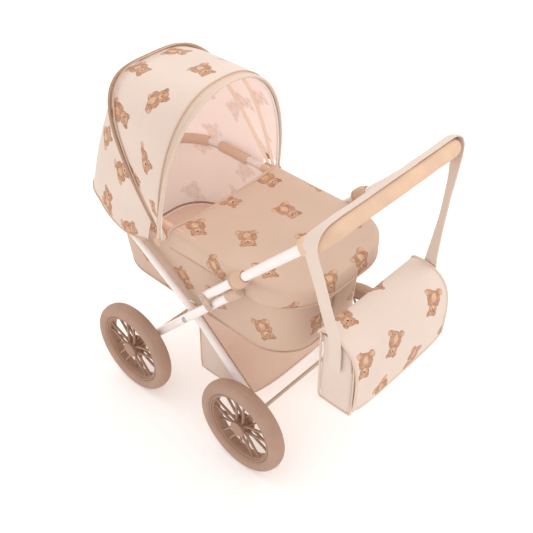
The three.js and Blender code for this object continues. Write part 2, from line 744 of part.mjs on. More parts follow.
// The carrying strap is sewn to the bag's two ends and goes over the whole grip.
function strap() {
  const side = [
    [BAG_X + 2.4, 284],
    [BAG_X + 3.5, 320],
    [BAG_X + 16, 380],
    [BAG_X + 40, 440],
    [BAG_X + 51, 468],
    [BAG_X + 51, 492],
    [BAG_X + 40, 509],
    [BAG_X + 16, 513.2],
  ];
  const line = [...side, [0, 513.2], ...side.map(([x, z]) => [-x, z]).reverse()];
  const path = new THREE.CatmullRomCurve3(line.map(([x, z]) => vec(x, 252, z)), false, "centripetal");
  const rings = [];
  const steps = 34;
  for (let i = 0; i <= steps; i++) {
    const p = path.getPoint(i / steps);
    const d = path.getTangent(i / steps);
    const across = vec(-d.z, 0, d.x).multiplyScalar(STRAP_THICK / 2);
    const wide = STRAP_WIDTH / 2;
    rings.push([
      p.clone().add(across).add(vec(0, -wide, 0)),
      p.clone().add(across).add(vec(0, wide, 0)),
      p.clone().sub(across).add(vec(0, wide, 0)),
      p.clone().sub(across).add(vec(0, -wide, 0)),
    ]);
  }
  return loft(rings);
}
add("bag_strap", strap(), strapFabric);

export default pram;
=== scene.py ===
"""Looks of a folding doll pram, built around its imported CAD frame. Metres, +Z up, hood at -Y."""

import math

import bmesh
import bpy
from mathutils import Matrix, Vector, noise


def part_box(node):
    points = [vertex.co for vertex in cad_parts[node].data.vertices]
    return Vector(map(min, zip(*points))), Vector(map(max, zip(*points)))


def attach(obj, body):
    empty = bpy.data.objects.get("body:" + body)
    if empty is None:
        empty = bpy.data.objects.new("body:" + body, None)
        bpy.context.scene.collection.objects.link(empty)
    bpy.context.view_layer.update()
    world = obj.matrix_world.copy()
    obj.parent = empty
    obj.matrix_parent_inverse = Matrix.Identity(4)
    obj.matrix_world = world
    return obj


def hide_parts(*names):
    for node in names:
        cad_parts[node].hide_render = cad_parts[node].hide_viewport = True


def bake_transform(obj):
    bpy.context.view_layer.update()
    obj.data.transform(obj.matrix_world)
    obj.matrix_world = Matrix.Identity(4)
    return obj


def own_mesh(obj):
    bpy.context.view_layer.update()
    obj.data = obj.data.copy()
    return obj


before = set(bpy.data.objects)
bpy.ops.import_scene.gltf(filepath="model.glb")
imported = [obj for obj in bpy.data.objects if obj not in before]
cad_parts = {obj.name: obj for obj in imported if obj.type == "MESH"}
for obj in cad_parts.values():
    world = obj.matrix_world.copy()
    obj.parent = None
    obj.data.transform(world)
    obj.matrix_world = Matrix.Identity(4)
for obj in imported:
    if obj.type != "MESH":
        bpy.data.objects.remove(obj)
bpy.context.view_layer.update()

MM = 0.001
HALF_WHEELBASE = 123.0
AXLE_LOW, AXLE_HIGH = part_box("axle_front")
SHIFT_Y = (AXLE_LOW.y + AXLE_HIGH.y) / 2 / MM + HALF_WHEELBASE
AXLE_Z = (AXLE_LOW.z + AXLE_HIGH.z) / 2 / MM
SIDES = ((1, "left"), (-1, "right"))


def P(x, y, z):
    """A point given in millimetres in the drawing's frame, in metres in the row frame."""
    return Vector((x, y + SHIFT_Y, z)) * MM


# ---- camera, floor and light
def look_at(obj, place, aim):
    obj.location = place
    obj.rotation_euler = (aim - place).to_track_quat("-Z", "Y").to_euler()


CAMERA_AT, CAMERA_AIM = P(769.3, 748.3, 1132.9), P(135.7, 160.4, 405.05)
CAMERA_LENS, CAMERA_SENSOR = 60.59, 36
FLOOR_HALF = 6


def make_stage():
    scene = bpy.context.scene
    camera = bpy.data.objects.new("camera", bpy.data.cameras.new("camera"))
    scene.collection.objects.link(camera)
    camera.data.sensor_width = CAMERA_SENSOR
    camera.data.lens = CAMERA_LENS
    camera.data.clip_end = 50
    look_at(camera, CAMERA_AT, CAMERA_AIM)
    scene.camera = camera
    scene.view_settings.view_transform = "Standard"
    world = bpy.data.worlds.new("studio")
    world.use_nodes = True
    background = world.node_tree.nodes["Background"]
    background.inputs["Color"].default_value = (1, 0.985, 0.97, 1)
    background.inputs["Strength"].default_value = 1.0
    scene.world = world
    for name, place, size, power, tint in (
        ("key", (-1.3, 0.7, 1.9), 1.3, 14, (1, 0.98, 0.96)),
        ("fill", (1.6, 1.2, 1.5), 1.6, 5, (1, 0.985, 0.97)),
        ("back", (0.4, -1.8, 1.6), 1.4, 6, (1, 0.99, 0.98)),
    ):
        light = bpy.data.lights.new(name, "AREA")
        light.size = size
        light.energy = power
        light.color = tint
        lamp = bpy.data.objects.new(name, light)
        scene.collection.objects.link(lamp)
        look_at(lamp, Vector(place), Vector((0, 0, 0.25)))
    mesh = bpy.data.meshes.new("floor")
    corners = [(x * FLOOR_HALF, y * FLOOR_HALF, 0) for x, y in ((-1, -1), (1, -1), (1, 1), (-1, 1))]
    mesh.from_pydata(corners, [], [(0, 1, 2, 3)])
    floor = bpy.data.objects.new("floor", mesh)
    scene.collection.objects.link(floor)
    floor.data.materials.append(floor_material())


# ---- material nodes
class Nodes:
    """A short way to write a material's nodes."""

    def __init__(self, name):
        self.material = bpy.data.materials.new(name)
        self.material.use_nodes = True
        self.tree = self.material.node_tree
        self.shader = self.tree.nodes["Principled BSDF"]

    def add(self, kind, inputs=(), **settings):
        node = self.tree.nodes.new(kind)
        for key, value in settings.items():
            setattr(node, key, value)
        for key, value in dict(inputs).items():
            self.put(node.inputs[key], value)
        return node

    def put(self, socket, value):
        if isinstance(value, bpy.types.NodeSocket):
            self.tree.links.new(value, socket)
        else:
            socket.default_value = value

    def math(self, operation, *values):
        node = self.add("ShaderNodeMath", operation=operation)
        for socket, value in zip(node.inputs, values):
            self.put(socket, value)
        return node.outputs[0]

    def vector(self, operation, *values):
        node = self.add("ShaderNodeVectorMath", operation=operation)
        for socket, value in zip(node.inputs, values):
            self.put(socket, value)
        return node.outputs["Value" if operation == "LENGTH" else "Vector"]

    def step(self, value, low, high, to_low=0.0, to_high=1.0):
        node = self.add(
            "ShaderNodeMapRange",
            {
                "Value": value,
                "From Min": low,
                "From Max": high,
                "To Min": to_low,
                "To Max": to_high,
            },
            interpolation_type="SMOOTHSTEP",
        )
        return node.outputs["Result"]

    def mix(self, factor, a, b, blend="MIX"):
        node = self.add("ShaderNodeMix", data_type="RGBA", blend_type=blend)
        for index, value in ((0, factor), (6, a), (7, b)):
            self.put(node.inputs[index], value)
        return node.outputs[2]

    def noise(self, where, scale, detail=2.0):
        node = self.add(
            "ShaderNodeTexNoise", {"Vector": where, "Scale": scale, "Detail": detail}
        )
        return node.outputs["Fac"]

    def object_place(self):
        return self.add("ShaderNodeTexCoord").outputs["Object"]

    def bump(self, height, strength, distance=0.001, normal=None):
        node = self.add(
            "ShaderNodeBump", {"Height": height, "Strength": strength, "Distance": distance}
        )
        if normal is not None:
            self.put(node.inputs["Normal"], normal)
        return node.outputs["Normal"]

    def finish(self, color, roughness, normal=None):
        self.put(self.shader.inputs["Base Color"], color)
        self.put(self.shader.inputs["Roughness"], roughness)
        if normal is not None:
            self.put(self.shader.inputs["Normal"], normal)
        return self.material


def toned(color, share):
    """The colour made lighter or darker by a share."""
    return tuple(share * c for c in color[:3]) + (1,)


def srgb(r, g, b):
    """A screen colour, 0 to 255, as linear light."""
    linear = [
        c / 12.92 if c <= 0.04045 else ((c + 0.055) / 1.055) ** 2.4
        for c in (r / 255, g / 255, b / 255)
    ]
    return (*linear, 1.0)


def floor_material():
    n = Nodes("floor_paper")
    cloud = n.noise(n.object_place(), 3.0)
    color = n.mix(n.step(cloud, 0.3, 0.7), (0.93, 0.915, 0.905, 1), (0.945, 0.93, 0.92, 1))
    n.shader.inputs["Emission Color"].default_value = (1, 0.97, 0.95, 1)
    n.shader.inputs["Emission Strength"].default_value = 0.18
    return n.finish(color, 0.9)


BEAR_SIZE = 41.0
BEAR_PITCH = 79.0

# The teddy motif: part, middle, half sizes, colour weight (0 light to 1 dark), in bear heights.
BEAR_PARTS = (
    ("body", (0.0, -0.14), (0.25, 0.29), 0.45),
    ("left_arm", (-0.24, -0.08), (0.10, 0.20), 0.62),
    ("right_arm", (0.24, -0.10), (0.10, 0.19), 0.62),
    ("belly", (0.0, -0.17), (0.15, 0.18), 0.22),
    ("left_leg", (-0.25, -0.36), (0.17, 0.12), 0.58),
    ("right_leg", (0.25, -0.36), (0.17, 0.12), 0.58),
    ("left_foot", (-0.33, -0.36), (0.095, 0.105), 0.25),
    ("right_foot", (0.33, -0.36), (0.095, 0.105), 0.25),
    ("left_ear", (-0.20, 0.40), (0.095, 0.095), 0.62),
    ("right_ear", (0.20, 0.40), (0.095, 0.095), 0.62),
    ("head", (0.0, 0.25), (0.25, 0.215), 0.48),
    ("muzzle", (0.0, 0.18), (0.12, 0.095), 0.16),
    ("nose", (0.0, 0.22), (0.042, 0.03), 1.0),
    ("left_eye", (-0.10, 0.30), (0.021, 0.024), 1.0),
    ("right_eye", (0.10, 0.30), (0.021, 0.024), 1.0),
)


def bear_print(n, ground, strength=1.0):
    """Scatters the sitting teddy over the cloth's flat coordinates and returns the colour."""
    flat = n.add("ShaderNodeUVMap", uv_map="flat").outputs["UV"]
    scaled = n.vector("SCALE", flat)
    scaled.node.inputs["Scale"].default_value = 1 / (BEAR_PITCH * MM)
    parts = n.add("ShaderNodeSeparateXYZ", {0: scaled})
    row = n.math("FLOOR", parts.outputs["Y"])
    offset = n.math("MULTIPLY", n.math("MODULO", n.math("ABSOLUTE", row), 2.0), 0.5)
    along = n.math("ADD", parts.outputs["X"], offset)
    column = n.math("FLOOR", along)
    cell = n.add("ShaderNodeCombineXYZ", {"X": column, "Y": row})
    dice = n.add("ShaderNodeTexWhiteNoise", {"Vector": cell.outputs[0]}, noise_dimensions="2D")
    roll = n.add("ShaderNodeSeparateColor", {0: dice.outputs["Color"]})
    local_x = n.math("SUBTRACT", n.math("SUBTRACT", along, column), 0.5)
    local_y = n.math("SUBTRACT", n.math("SUBTRACT", parts.outputs["Y"], row), 0.5)
    jitter_x = n.math("MULTIPLY", n.math("SUBTRACT", roll.outputs["Red"], 0.5), 0.30)
    jitter_y = n.math("MULTIPLY", n.math("SUBTRACT", roll.outputs["Green"], 0.5), 0.26)
    tilt = n.math("MULTIPLY", n.math("SUBTRACT", roll.outputs["Blue"], 0.5), 1.5)
    local = n.add(
        "ShaderNodeCombineXYZ",
        {"X": n.math("SUBTRACT", local_x, jitter_x), "Y": n.math("SUBTRACT", local_y, jitter_y)},
    )
    turned = n.add(
        "ShaderNodeVectorRotate",
        {"Vector": local.outputs[0], "Angle": tilt},
        rotation_type="Z_AXIS",
    )
    place = n.vector("SCALE", turned.outputs[0])
    place.node.inputs["Scale"].default_value = BEAR_PITCH / BEAR_SIZE
    wobble = n.add("ShaderNodeTexNoise", {"Vector": flat, "Scale": 170.0, "Detail": 2.0})
    shaken = n.vector("SUBTRACT", wobble.outputs["Color"], (0.5, 0.5, 0.5))
    shaken = n.vector("MULTIPLY", shaken, (0.10, 0.10, 0.0))
    place = n.vector("ADD", place, shaken)
    wash = n.noise(flat, 130.0, 3.0)
    light, middle, dark = srgb(218, 178, 148), srgb(152, 98, 66), srgb(84, 46, 28)
    color = ground
    for _, centre, half, weight in BEAR_PARTS:
        away = n.vector("SUBTRACT", place, (*centre, 0.0))
        reach = n.vector("LENGTH", n.vector("MULTIPLY", away, (1 / half[0], 1 / half[1], 0.0)))
        if weight >= 1:
            tone = dark
        else:
            share = n.math("ADD", n.step(wash, 0.35, 0.75, -0.16, 0.2), weight)
            tone = n.mix(share, light, middle)
            edge = n.math("MULTIPLY", n.step(reach, 0.82, 1.0), 0.55)
            tone = n.mix(edge, tone, dark)
        inside = n.math("MULTIPLY", n.step(reach, 1.08, 0.96), strength)
        color = n.mix(inside, color, tone)
    return color


THREAD_SCALE = 150.0


def weave(n):
    """Fine crossed threads with soft creases under them."""
    where = n.object_place()
    threads = []
    for direction in ("X", "Z"):
        wave = n.add(
            "ShaderNodeTexWave",
            {"Vector": where, "Scale": THREAD_SCALE, "Distortion": 1.2, "Detail": 1.0},
            bands_direction=direction,
        )
        threads.append(wave.outputs["Fac"])
    cloth = n.math("MULTIPLY", threads[0], threads[1])
    fine = n.bump(cloth, 0.16, 0.0004)
    crease = n.noise(where, 22.0, 3.0)
    return n.bump(crease, 0.34, 0.004, fine)


def cloth_material(name, base, printed=True, strength=1.0, painted_glow=0.0):
    """Woven cloth. Its emission, when given, is painted light: the cloth lights itself in its own
    colour, in place of light coming through a single thin layer and, on pieces in shade, of light
    that lifts the shade.
    """
    n = Nodes(name)
    # Painted light: an emission in the cloth's own colour.
    if painted_glow:
        n.shader.inputs["Emission Color"].default_value = base
        n.shader.inputs["Emission Strength"].default_value = painted_glow
    where = n.object_place()
    cloud = n.noise(where, 9.0, 3.0)
    ground = n.mix(n.step(cloud, 0.35, 0.7), toned(base, 0.95), base)
    specks = n.noise(where, 1400.0, 1.0)
    ground = n.mix(n.step(specks, 0.35, 0.75, 0.0, 0.10), ground, toned(base, 0.8))
    color = bear_print(n, ground, strength) if printed else ground
    rough = n.step(cloud, 0.3, 0.7, 0.82, 0.92)
    n.shader.inputs["Sheen Weight"].default_value = 0.12
    n.shader.inputs["Specular IOR Level"].default_value = 0.2
    return n.finish(color, rough, weave(n))


def smooth_material(name, base, rough, grain=60.0, depth=0.06, metal=0.0, coat=0.0):
    """Paint or moulded plastic: a faint mottle, and scuffs that show in the gloss."""
    n = Nodes(name)
    where = n.object_place()
    cloud = n.noise(where, grain, 3.0)
    color = n.mix(n.step(cloud, 0.3, 0.75), toned(base, 0.96), base)
    fine = n.noise(where, grain * 14, 2.0)
    n.shader.inputs["Metallic"].default_value = metal
    n.shader.inputs["Coat Weight"].default_value = coat
    gloss = n.step(fine, 0.3, 0.7, rough - 0.05, rough + 0.07)
    return n.finish(color, gloss, n.bump(fine, depth, 0.0006))


def foam_material(name, base):
    n = Nodes(name)
    where = n.object_place()
    cells = n.add("ShaderNodeTexVoronoi", {"Vector": where, "Scale": 900.0}).outputs["Distance"]
    cloud = n.noise(where, 26.0, 3.0)
    color = n.mix(n.step(cloud, 0.3, 0.72), toned(base, 0.86), base)
    pore = n.step(cells, 0.1, 0.5)
    color = n.mix(n.math("MULTIPLY", pore, 0.10), color, toned(base, 1.15))
    rough = n.step(cloud, 0.3, 0.7, 0.7, 0.85)
    return n.finish(color, rough, n.bump(cells, 0.22, 0.0005))


make_stage()

# One bear print painted in two lightings: the darker copy carries painted shade on the cot and
# apron, the lighter copy carries painted light on the hood and bag.
SHADED_PRINT_FABRIC = cloth_material("bear_print_shaded_copy", srgb(207, 179, 160))
LIT_PRINT_FABRIC = cloth_material("bear_print_lit_copy", srgb(222, 203, 191))
TAB = cloth_material("tan_tab", srgb(204, 175, 155), printed=False)
PLAIN_FABRIC = cloth_material("cream_plain", srgb(220, 200, 188), printed=False)
# Painted light: the lining glows in its own colour in place of light coming through the thin cloth.
LINING = cloth_material("pale_lining", srgb(230, 216, 208), strength=0.28, painted_glow=0.28)
BAG_LINING = cloth_material("bag_lining", srgb(222, 203, 191), strength=0.28)
# Painted light: the rim casing glows a little in its own colour to lift the shade on it.
CASING = cloth_material("rim_casing_cloth", srgb(212, 182, 160), printed=False, painted_glow=0.12)
# Painted light: the mattress glows a little in its own colour to lift the shade inside the cot.
MATTRESS = cloth_material("mattress_cloth", srgb(216, 188, 172), printed=False, painted_glow=0.14)
# Painted light: the basket cloth glows in its own colour to lift the shade under the cot.
BASKET_CLOTH = cloth_material("basket_cloth", srgb(222, 198, 182), printed=False, painted_glow=0.26)
# Painted light: the hoop sleeves glow in their own colour to lift the shade inside the hood.
HOOP_SLEEVE = cloth_material("hoop_sleeve", srgb(224, 202, 186), printed=False, painted_glow=0.28)
LIGHT_BINDING = cloth_material("cream_binding", srgb(219, 197, 180), printed=False)
HOOD_LINING = cloth_material("lit_hood_lining", srgb(232, 219, 213), strength=0.36, painted_glow=0.38)
BINDING = cloth_material("tan_binding", srgb(204, 172, 148), printed=False)
DARK_BINDING = cloth_material("brown_binding", srgb(178, 146, 124), printed=False)
STRAP = cloth_material("cream_webbing", srgb(220, 202, 189), printed=False)
PAINT = smooth_material("white_tube_paint", srgb(240, 230, 226), 0.30, coat=0.25)
AXLE_PAINT = smooth_material("beige_rod_paint", srgb(196, 172, 155), 0.40)
TAN = smooth_material("tan_moulding", srgb(204, 168, 142), 0.42)
WHITE_PLASTIC = smooth_material("white_moulding", srgb(234, 226, 230), 0.4)
WHEEL = smooth_material("wheel_moulding", srgb(162, 127, 106), 0.5)
TYRE = foam_material("tyre_foam_skin", srgb(176, 143, 124))
GRIP = foam_material("grip_foam_skin", srgb(221, 186, 158))
STEEL = smooth_material("rivet_metal", srgb(176, 180, 184), 0.28, metal=1.0)
BOARD = smooth_material("fibre_board_face", srgb(200, 172, 140), 0.7)
BOW = smooth_material("hoop_coating", srgb(240, 232, 230), 0.4)


# ---- mesh helpers
def make_object(name, vertices, faces, materials, flat=None):
    """A mesh object; flat holds each face corner's place in the cloth, in metres."""
    mesh = bpy.data.meshes.new(name)
    mesh.from_pydata([tuple(v) for v in vertices], [], faces)
    layer = mesh.uv_layers.new(name="flat")
    if flat is not None:
        for loop in mesh.loops:
            layer.data[loop.index].uv = flat[loop.vertex_index]
    for material in materials:
        mesh.materials.append(material)
    mesh.shade_smooth()
    obj = bpy.data.objects.new(name, mesh)
    bpy.context.scene.collection.objects.link(obj)
    return obj


def apply_modifiers(obj):
    graph = bpy.context.evaluated_depsgraph_get()
    mesh = bpy.data.meshes.new_from_object(obj.evaluated_get(graph))
    obj.modifiers.clear()
    obj.data = mesh
    return obj


def sharpen(obj, degrees=35):
    obj.data.shade_smooth()
    obj.data.set_sharp_from_angle(angle=math.radians(degrees))
    return obj


def join(pieces):
    """Joins pieces into the first one, keeping their materials."""
    bpy.ops.object.select_all(action="DESELECT")
    for piece in pieces:
        piece.select_set(True)
    bpy.context.view_layer.objects.active = pieces[0]
    bpy.ops.object.join()
    return pieces[0]


def smooth_line(points, per=8):
    """A Catmull-Rom line through points."""
    line = []
    for i in range(len(points) - 1):
        a = points[max(i - 1, 0)]
        b, c = points[i], points[i + 1]
        d = points[min(i + 2, len(points) - 1)]
        for k in range(per):
            t = k / per
            line.append(
                0.5
                * (
                    2 * b
                    + (c - a) * t
                    + (2 * a - 5 * b + 4 * c - d) * t * t
                    + (3 * b - a - 3 * c + d) * t ** 3
                )
            )
    line.append(points[-1].copy())
    return line


def tube(name, points, radius, material, closed=False, sides=20, end_round=0.0):
    """A round tube along points; radius in millimetres. Its ends are closed."""
    n = len(points)
    tangents = []
    for i in range(n):
        a = points[(i - 1) % n] if closed else points[max(i - 1, 0)]
        b = points[(i + 1) % n] if closed else points[min(i + 1, n - 1)]
        tangents.append((b - a).normalized())
    rings = []
    normal = tangents[0].orthogonal().normalized()
    for i in range(n):
        normal = (normal - tangents[i] * normal.dot(tangents[i])).normalized()
        across = tangents[i].cross(normal)
        rings.append((points[i], normal, across, radius))
    if not closed and end_round > 0:
        for at_end in (False, True):
            base = rings[-1] if at_end else rings[0]
            tangent = tangents[-1] if at_end else -tangents[0]
            extra = []
            for k in range(1, 4):
                a = math.pi / 2 * k / 3.4
                shift = tangent * (end_round * math.sin(a) * MM)
                smaller = base[3] - end_round * (1 - math.cos(a))
                extra.append((base[0] + shift, base[1], base[2], smaller))
            rings = rings + extra if at_end else extra[::-1] + rings
    vertices, faces, flat = [], [], []
    run = 0.0
    for i, (centre, normal, across, size) in enumerate(rings):
        if i:
            run += (centre - rings[i - 1][0]).length
        for k in range(sides):
            a = 2 * math.pi * k / sides
            vertices.append(centre + (normal * math.cos(a) + across * math.sin(a)) * size * MM)
            flat.append((run, k / sides * 2 * math.pi * size * MM))
    m = len(rings)
    for i in range(m if closed else m - 1):
        for k in range(sides):
            a, b = i * sides + k, i * sides + (k + 1) % sides
            c, d = ((i + 1) % m) * sides + k, ((i + 1) % m) * sides + (k + 1) % sides
            faces.append((a, b, d, c))
    if not closed:
        faces.append(tuple(range(sides - 1, -1, -1)))
        faces.append(tuple((m - 1) * sides + k for k in range(sides)))
    return sharpen(make_object(name, vertices, faces, [material], flat), 50)


def lathe(name, profile, place, side, material, segments=64, axis=None):
    """A body turned about X, or about axis: profile holds (radius, distance outwards) pairs."""
    vertices, faces = [], []
    along = Vector((side, 0, 0)) if axis is None else axis.normalized()
    u = along.orthogonal().normalized()
    v = along.cross(u)
    for radius, x in profile:
        for k in range(segments):
            a = 2 * math.pi * k / segments
            vertices.append(
                place + along * x * MM + (u * math.cos(a) + v * math.sin(a)) * radius * MM
            )
    m = len(profile)
    for i in range(m - 1):
        for k in range(segments):
            a, b = i * segments + k, i * segments + (k + 1) % segments
            faces.append((a, b, b + segments, a + segments))
    closed = (Vector(profile[0]) - Vector(profile[-1])).length < 1e-6
    if not closed:
        faces.append(tuple(range(segments - 1, -1, -1)))
        faces.append(tuple((m - 1) * segments + k for k in range(segments)))
    obj = make_object(name, vertices, faces, [material])
    return tidy(obj)


def tidy(obj, degrees=35):
    """Welds doubled points and turns the faces outwards."""
    bm = bmesh.new()
    bm.from_mesh(obj.data)
    bmesh.ops.remove_doubles(bm, verts=bm.verts, dist=1e-6)
    bmesh.ops.recalc_face_normals(bm, faces=bm.faces)
    bm.to_mesh(obj.data)
    bm.free()
    return sharpen(obj, degrees)


def ripple(obj, amount, scale, seed=0.0, stretch=(1, 1, 1)):
    """Moves points along their normals by smooth noise; amount in millimetres."""
    moves = []
    for v in obj.data.vertices:
        where = Vector([v.co[i] * scale * stretch[i] for i in range(3)])
        moves.append(v.normal * noise.noise(where + Vector((seed, seed, seed))) * amount * MM)
    for v, move in zip(obj.data.vertices, moves):
        v.co += move
    return obj


class Cloth:
    """A sheet given by rows of points, with its cut size."""

    def __init__(self, name, rows, materials, flat=None, start=(0.0, 0.0), fan=False):
        count = len(rows[0])
        vertices = [p for row in rows for p in row]
        faces = [
            (i * count + j, i * count + j + 1, (i + 1) * count + j + 1, (i + 1) * count + j)
            for i in range(len(rows) - 1)
            for j in range(count - 1)
        ]
        widths = [self.run(row) for row in rows]
        columns = [self.run([row[j] for row in rows]) for j in range(count)]
        if flat is None:
            across, down = count // 2, len(rows) // 2
            flat = []
            for i in range(len(rows)):
                for j in range(count):
                    row, column = (i, j) if fan else (down, across)
                    u = widths[row][j] - widths[row][across]
                    v = columns[column][i] - columns[column][down]
                    flat.append((start[0] + u, start[1] + v))
        self.size = (max(w[-1] for w in widths), max(c[-1] for c in columns))
        self.obj = make_object(name, vertices, faces, materials, flat)
        self.area = sum(p.area for p in self.obj.data.polygons)

    @staticmethod
    def run(points):
        total = [0.0]
        for a, b in zip(points, points[1:]):
            total.append(total[-1] + (b - a).length)
        return total

    def thicken(self, thick, inside_material=False, offset=-1.0, degrees=60):
        modifier = self.obj.modifiers.new("thick", "SOLIDIFY")
        modifier.thickness = thick * MM
        modifier.offset = offset
        modifier.use_even_offset = False
        if inside_material:
            modifier.material_offset = 1
            modifier.material_offset_rim = 1
        return tidy(apply_modifiers(self.obj), degrees)


def hem(line, radius, material=None, closed=False):
    """A thin round binding along an edge."""
    return tube("hem", line, radius, material or BINDING, closed=closed, sides=8)


def span(obj, slot, node, bodies, start, end):
    """Hides the cloth's CAD node and bakes the cloth's placement into its mesh; the cloth is put on
    no body.
    """
    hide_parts(node)
    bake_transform(obj)


def place(obj, body, slot, *nodes):
    """Puts a finished piece on its body."""
    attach(obj, body)
    if nodes:
        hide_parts(*nodes)
    return obj


# ---- chassis lines (millimetres)
PIVOT = Vector((-13.0, 198.0))
REAR_TOP = Vector((-175.0, 314.3))
LEG = (PIVOT - Vector((-HALF_WHEELBASE, AXLE_Z))).normalized()
LEG_UP = Vector((-LEG.y, LEG.x))
LINK_AT, HANDLE_OFFSET = 89.0, 16.7
FRONT_X, REAR_X, HANDLE_X, HANDLE_BAR_X = 125.0, 110.0, 127.0, 139.0
BAR = Vector((249.0, 498.0))


def on_leg(along, above=0.0):
    return PIVOT + LEG * along + LEG_UP * above


HANDLE_LOW = on_leg(LINK_AT - 5.2, HANDLE_OFFSET)
HANDLE_RUN = (BAR - HANDLE_LOW).length
HANDLE_DIR = (BAR - HANDLE_LOW).normalized()
BEND_R = 26.0


def on_handle(side, t, lift=0.0):
    x = HANDLE_X + (HANDLE_BAR_X - HANDLE_X) * t / HANDLE_RUN
    p = HANDLE_LOW + HANDLE_DIR * t
    return P(side * x, p.x - HANDLE_DIR.y * lift, p.y + HANDLE_DIR.x * lift)


def handle_half(side, first=0.0):
    straight = HANDLE_RUN - BEND_R
    points = [on_handle(side, first + (straight - first) * i / 10) for i in range(11)]
    for i in range(1, 11):
        a = math.pi / 2 * i / 10
        x = HANDLE_BAR_X - BEND_R + BEND_R * math.cos(a)
        p = HANDLE_LOW + HANDLE_DIR * (straight + BEND_R * math.sin(a))
        points.append(P(side * x, p.x, p.y))
    return points


def rivet(name, side, x, where, radius=4.0, height=1.8):
    profile = [(0.02, height)]
    for k in range(1, 7):
        a = math.pi / 2 * k / 6
        profile.append((radius * math.sin(a), height * math.cos(a)))
    profile += [(radius, -0.6), (2.0, -0.6), (2.0, -2.2), (0.02, -2.2)]
    head = lathe(name, profile, P(side * x, where.x, where.y), side, STEEL, 28)
    return head


# ---- wheels
TYRE_PROFILE = [
    (61.2, -9.2),
    (63.5, -11.8),
    (67.0, -13.2),
    (71.0, -13.5),
    (74.6, -12.4),
    (77.4, -9.6),
    (79.2, -5.6),
    (80.0, 0.0),
]


def tyre(name, side, centre):
    outline = TYRE_PROFILE + [(r, -x) for r, x in TYRE_PROFILE[-2::-1]]
    outline = [Vector(p) for p in outline]
    dense = [(p.x, p.y) for p in smooth_line(outline, 3)]
    for groove in (4.2, -4.2):
        dense = [
            (r - 0.7 * math.exp(-(((x - groove) / 0.8) ** 2)) if r > 74 else r, x) for r, x in dense
        ]
    dense.append(dense[0])
    return lathe(name, dense, centre, side, TYRE, 112)


HUB_REACH, SPOKE_REACH = 8.0, 58.0
SPOKE_SECTION = ((-1, -0.7), (-0.7, -1), (0.7, -1), (1, -0.7))
SPOKE_SECTION += tuple((-u, -w) for u, w in SPOKE_SECTION)


def spoke(layer, angle, lean, side, centre):
    """One tapered spoke that leaves the hub beside its partner."""
    vertices, faces = [], []
    outwards = Vector((side, 0, 0))
    steps = 6
    for i in range(steps + 1):
        t = i / steps
        r = HUB_REACH + (SPOKE_REACH - HUB_REACH) * t
        a = angle + lean * (0.52 * (1 - t) ** 2 + 0.17 * t)
        wide = 1.7 - 0.3 * t
        deep = 2.0 - 0.3 * t
        x = layer * (1 - 0.25 * t)
        radial = Vector((0, math.sin(a), math.cos(a)))
        across = Vector((0, math.cos(a), -math.sin(a)))
        for u, w in SPOKE_SECTION:
            flat_place = (radial * r + across * u * wide) * MM
            vertices.append(centre + flat_place + outwards * (x + w * deep) * MM)
    for i in range(steps):
        for k in range(8):
            a, b = i * 8 + k, i * 8 + (k + 1) % 8
            faces.append((a, b, b + 8, a + 8))
    faces += [tuple(range(7, -1, -1)), tuple(steps * 8 + k for k in range(8))]
    return tidy(make_object("spoke", vertices, faces, [WHEEL]))


def rim(name, side, centre):
    band = [
        (61.0, -9.2),
        (61.0, 9.2),
        (59.6, 10.2),
        (57.6, 9.6),
        (57.0, 7.6),
        (55.4, 7.2),
        (54.6, 5.4),
        (54.6, -5.4),
        (55.4, -7.2),
        (57.0, -7.6),
        (57.6, -9.6),
        (59.6, -10.2),
        (61.0, -9.2),
    ]
    hub = [
        (3.4, -11.0),
        (15.5, -11.0),
        (16.0, -10.0),
        (16.0, -7.6),
        (9.6, -5.4),
        (9.2, 0.0),
        (9.6, 5.0),
        (11.6, 6.6),
        (12.0, 8.8),
        (11.2, 9.8),
        (3.4, 9.8),
        (3.4, -11.0),
    ]
    pieces = [lathe(name, band, centre, side, WHEEL, 96)]
    pieces.append(lathe("hub", hub, centre, side, WHEEL, 40))
    for layer, turn in ((4.6, 0.0), (-4.6, math.pi / 5)):
        for i in range(5):
            for lean in (-1, 1):
                pieces.append(spoke(layer, turn + 2 * math.pi * i / 5, lean, side, centre))
    return join(pieces)


def hub_cap(name, side, centre):
    profile = [(0.02, 13.4), (6.0, 13.3), (11.0, 13.1), (12.6, 12.6), (13.3, 11.8), (13.4, 10.8)]
    profile += [(13.0, 10.3), (0.02, 10.3)]
    return lathe(name, profile, centre, side, WHEEL, 40)


for end, y in (("front", -HALF_WHEELBASE), ("rear", HALF_WHEELBASE)):
    for side, label in SIDES:
        body = f"wheel_{end}_{label}"
        centre = P(side * 149.0, y, AXLE_Z)
        where = f"{end}_{label}"
        place(tyre(f"foam_tyre_{where}", side, centre), body, "tyre_foam", f"tyre_{where}")
        place(rim(f"spoked_rim_{where}", side, centre), body, "wheel_plastic", f"rim_{where}")
        place(hub_cap(f"round_cap_{where}", side, centre), body, "tan_plastic", f"hub_cap_{where}")

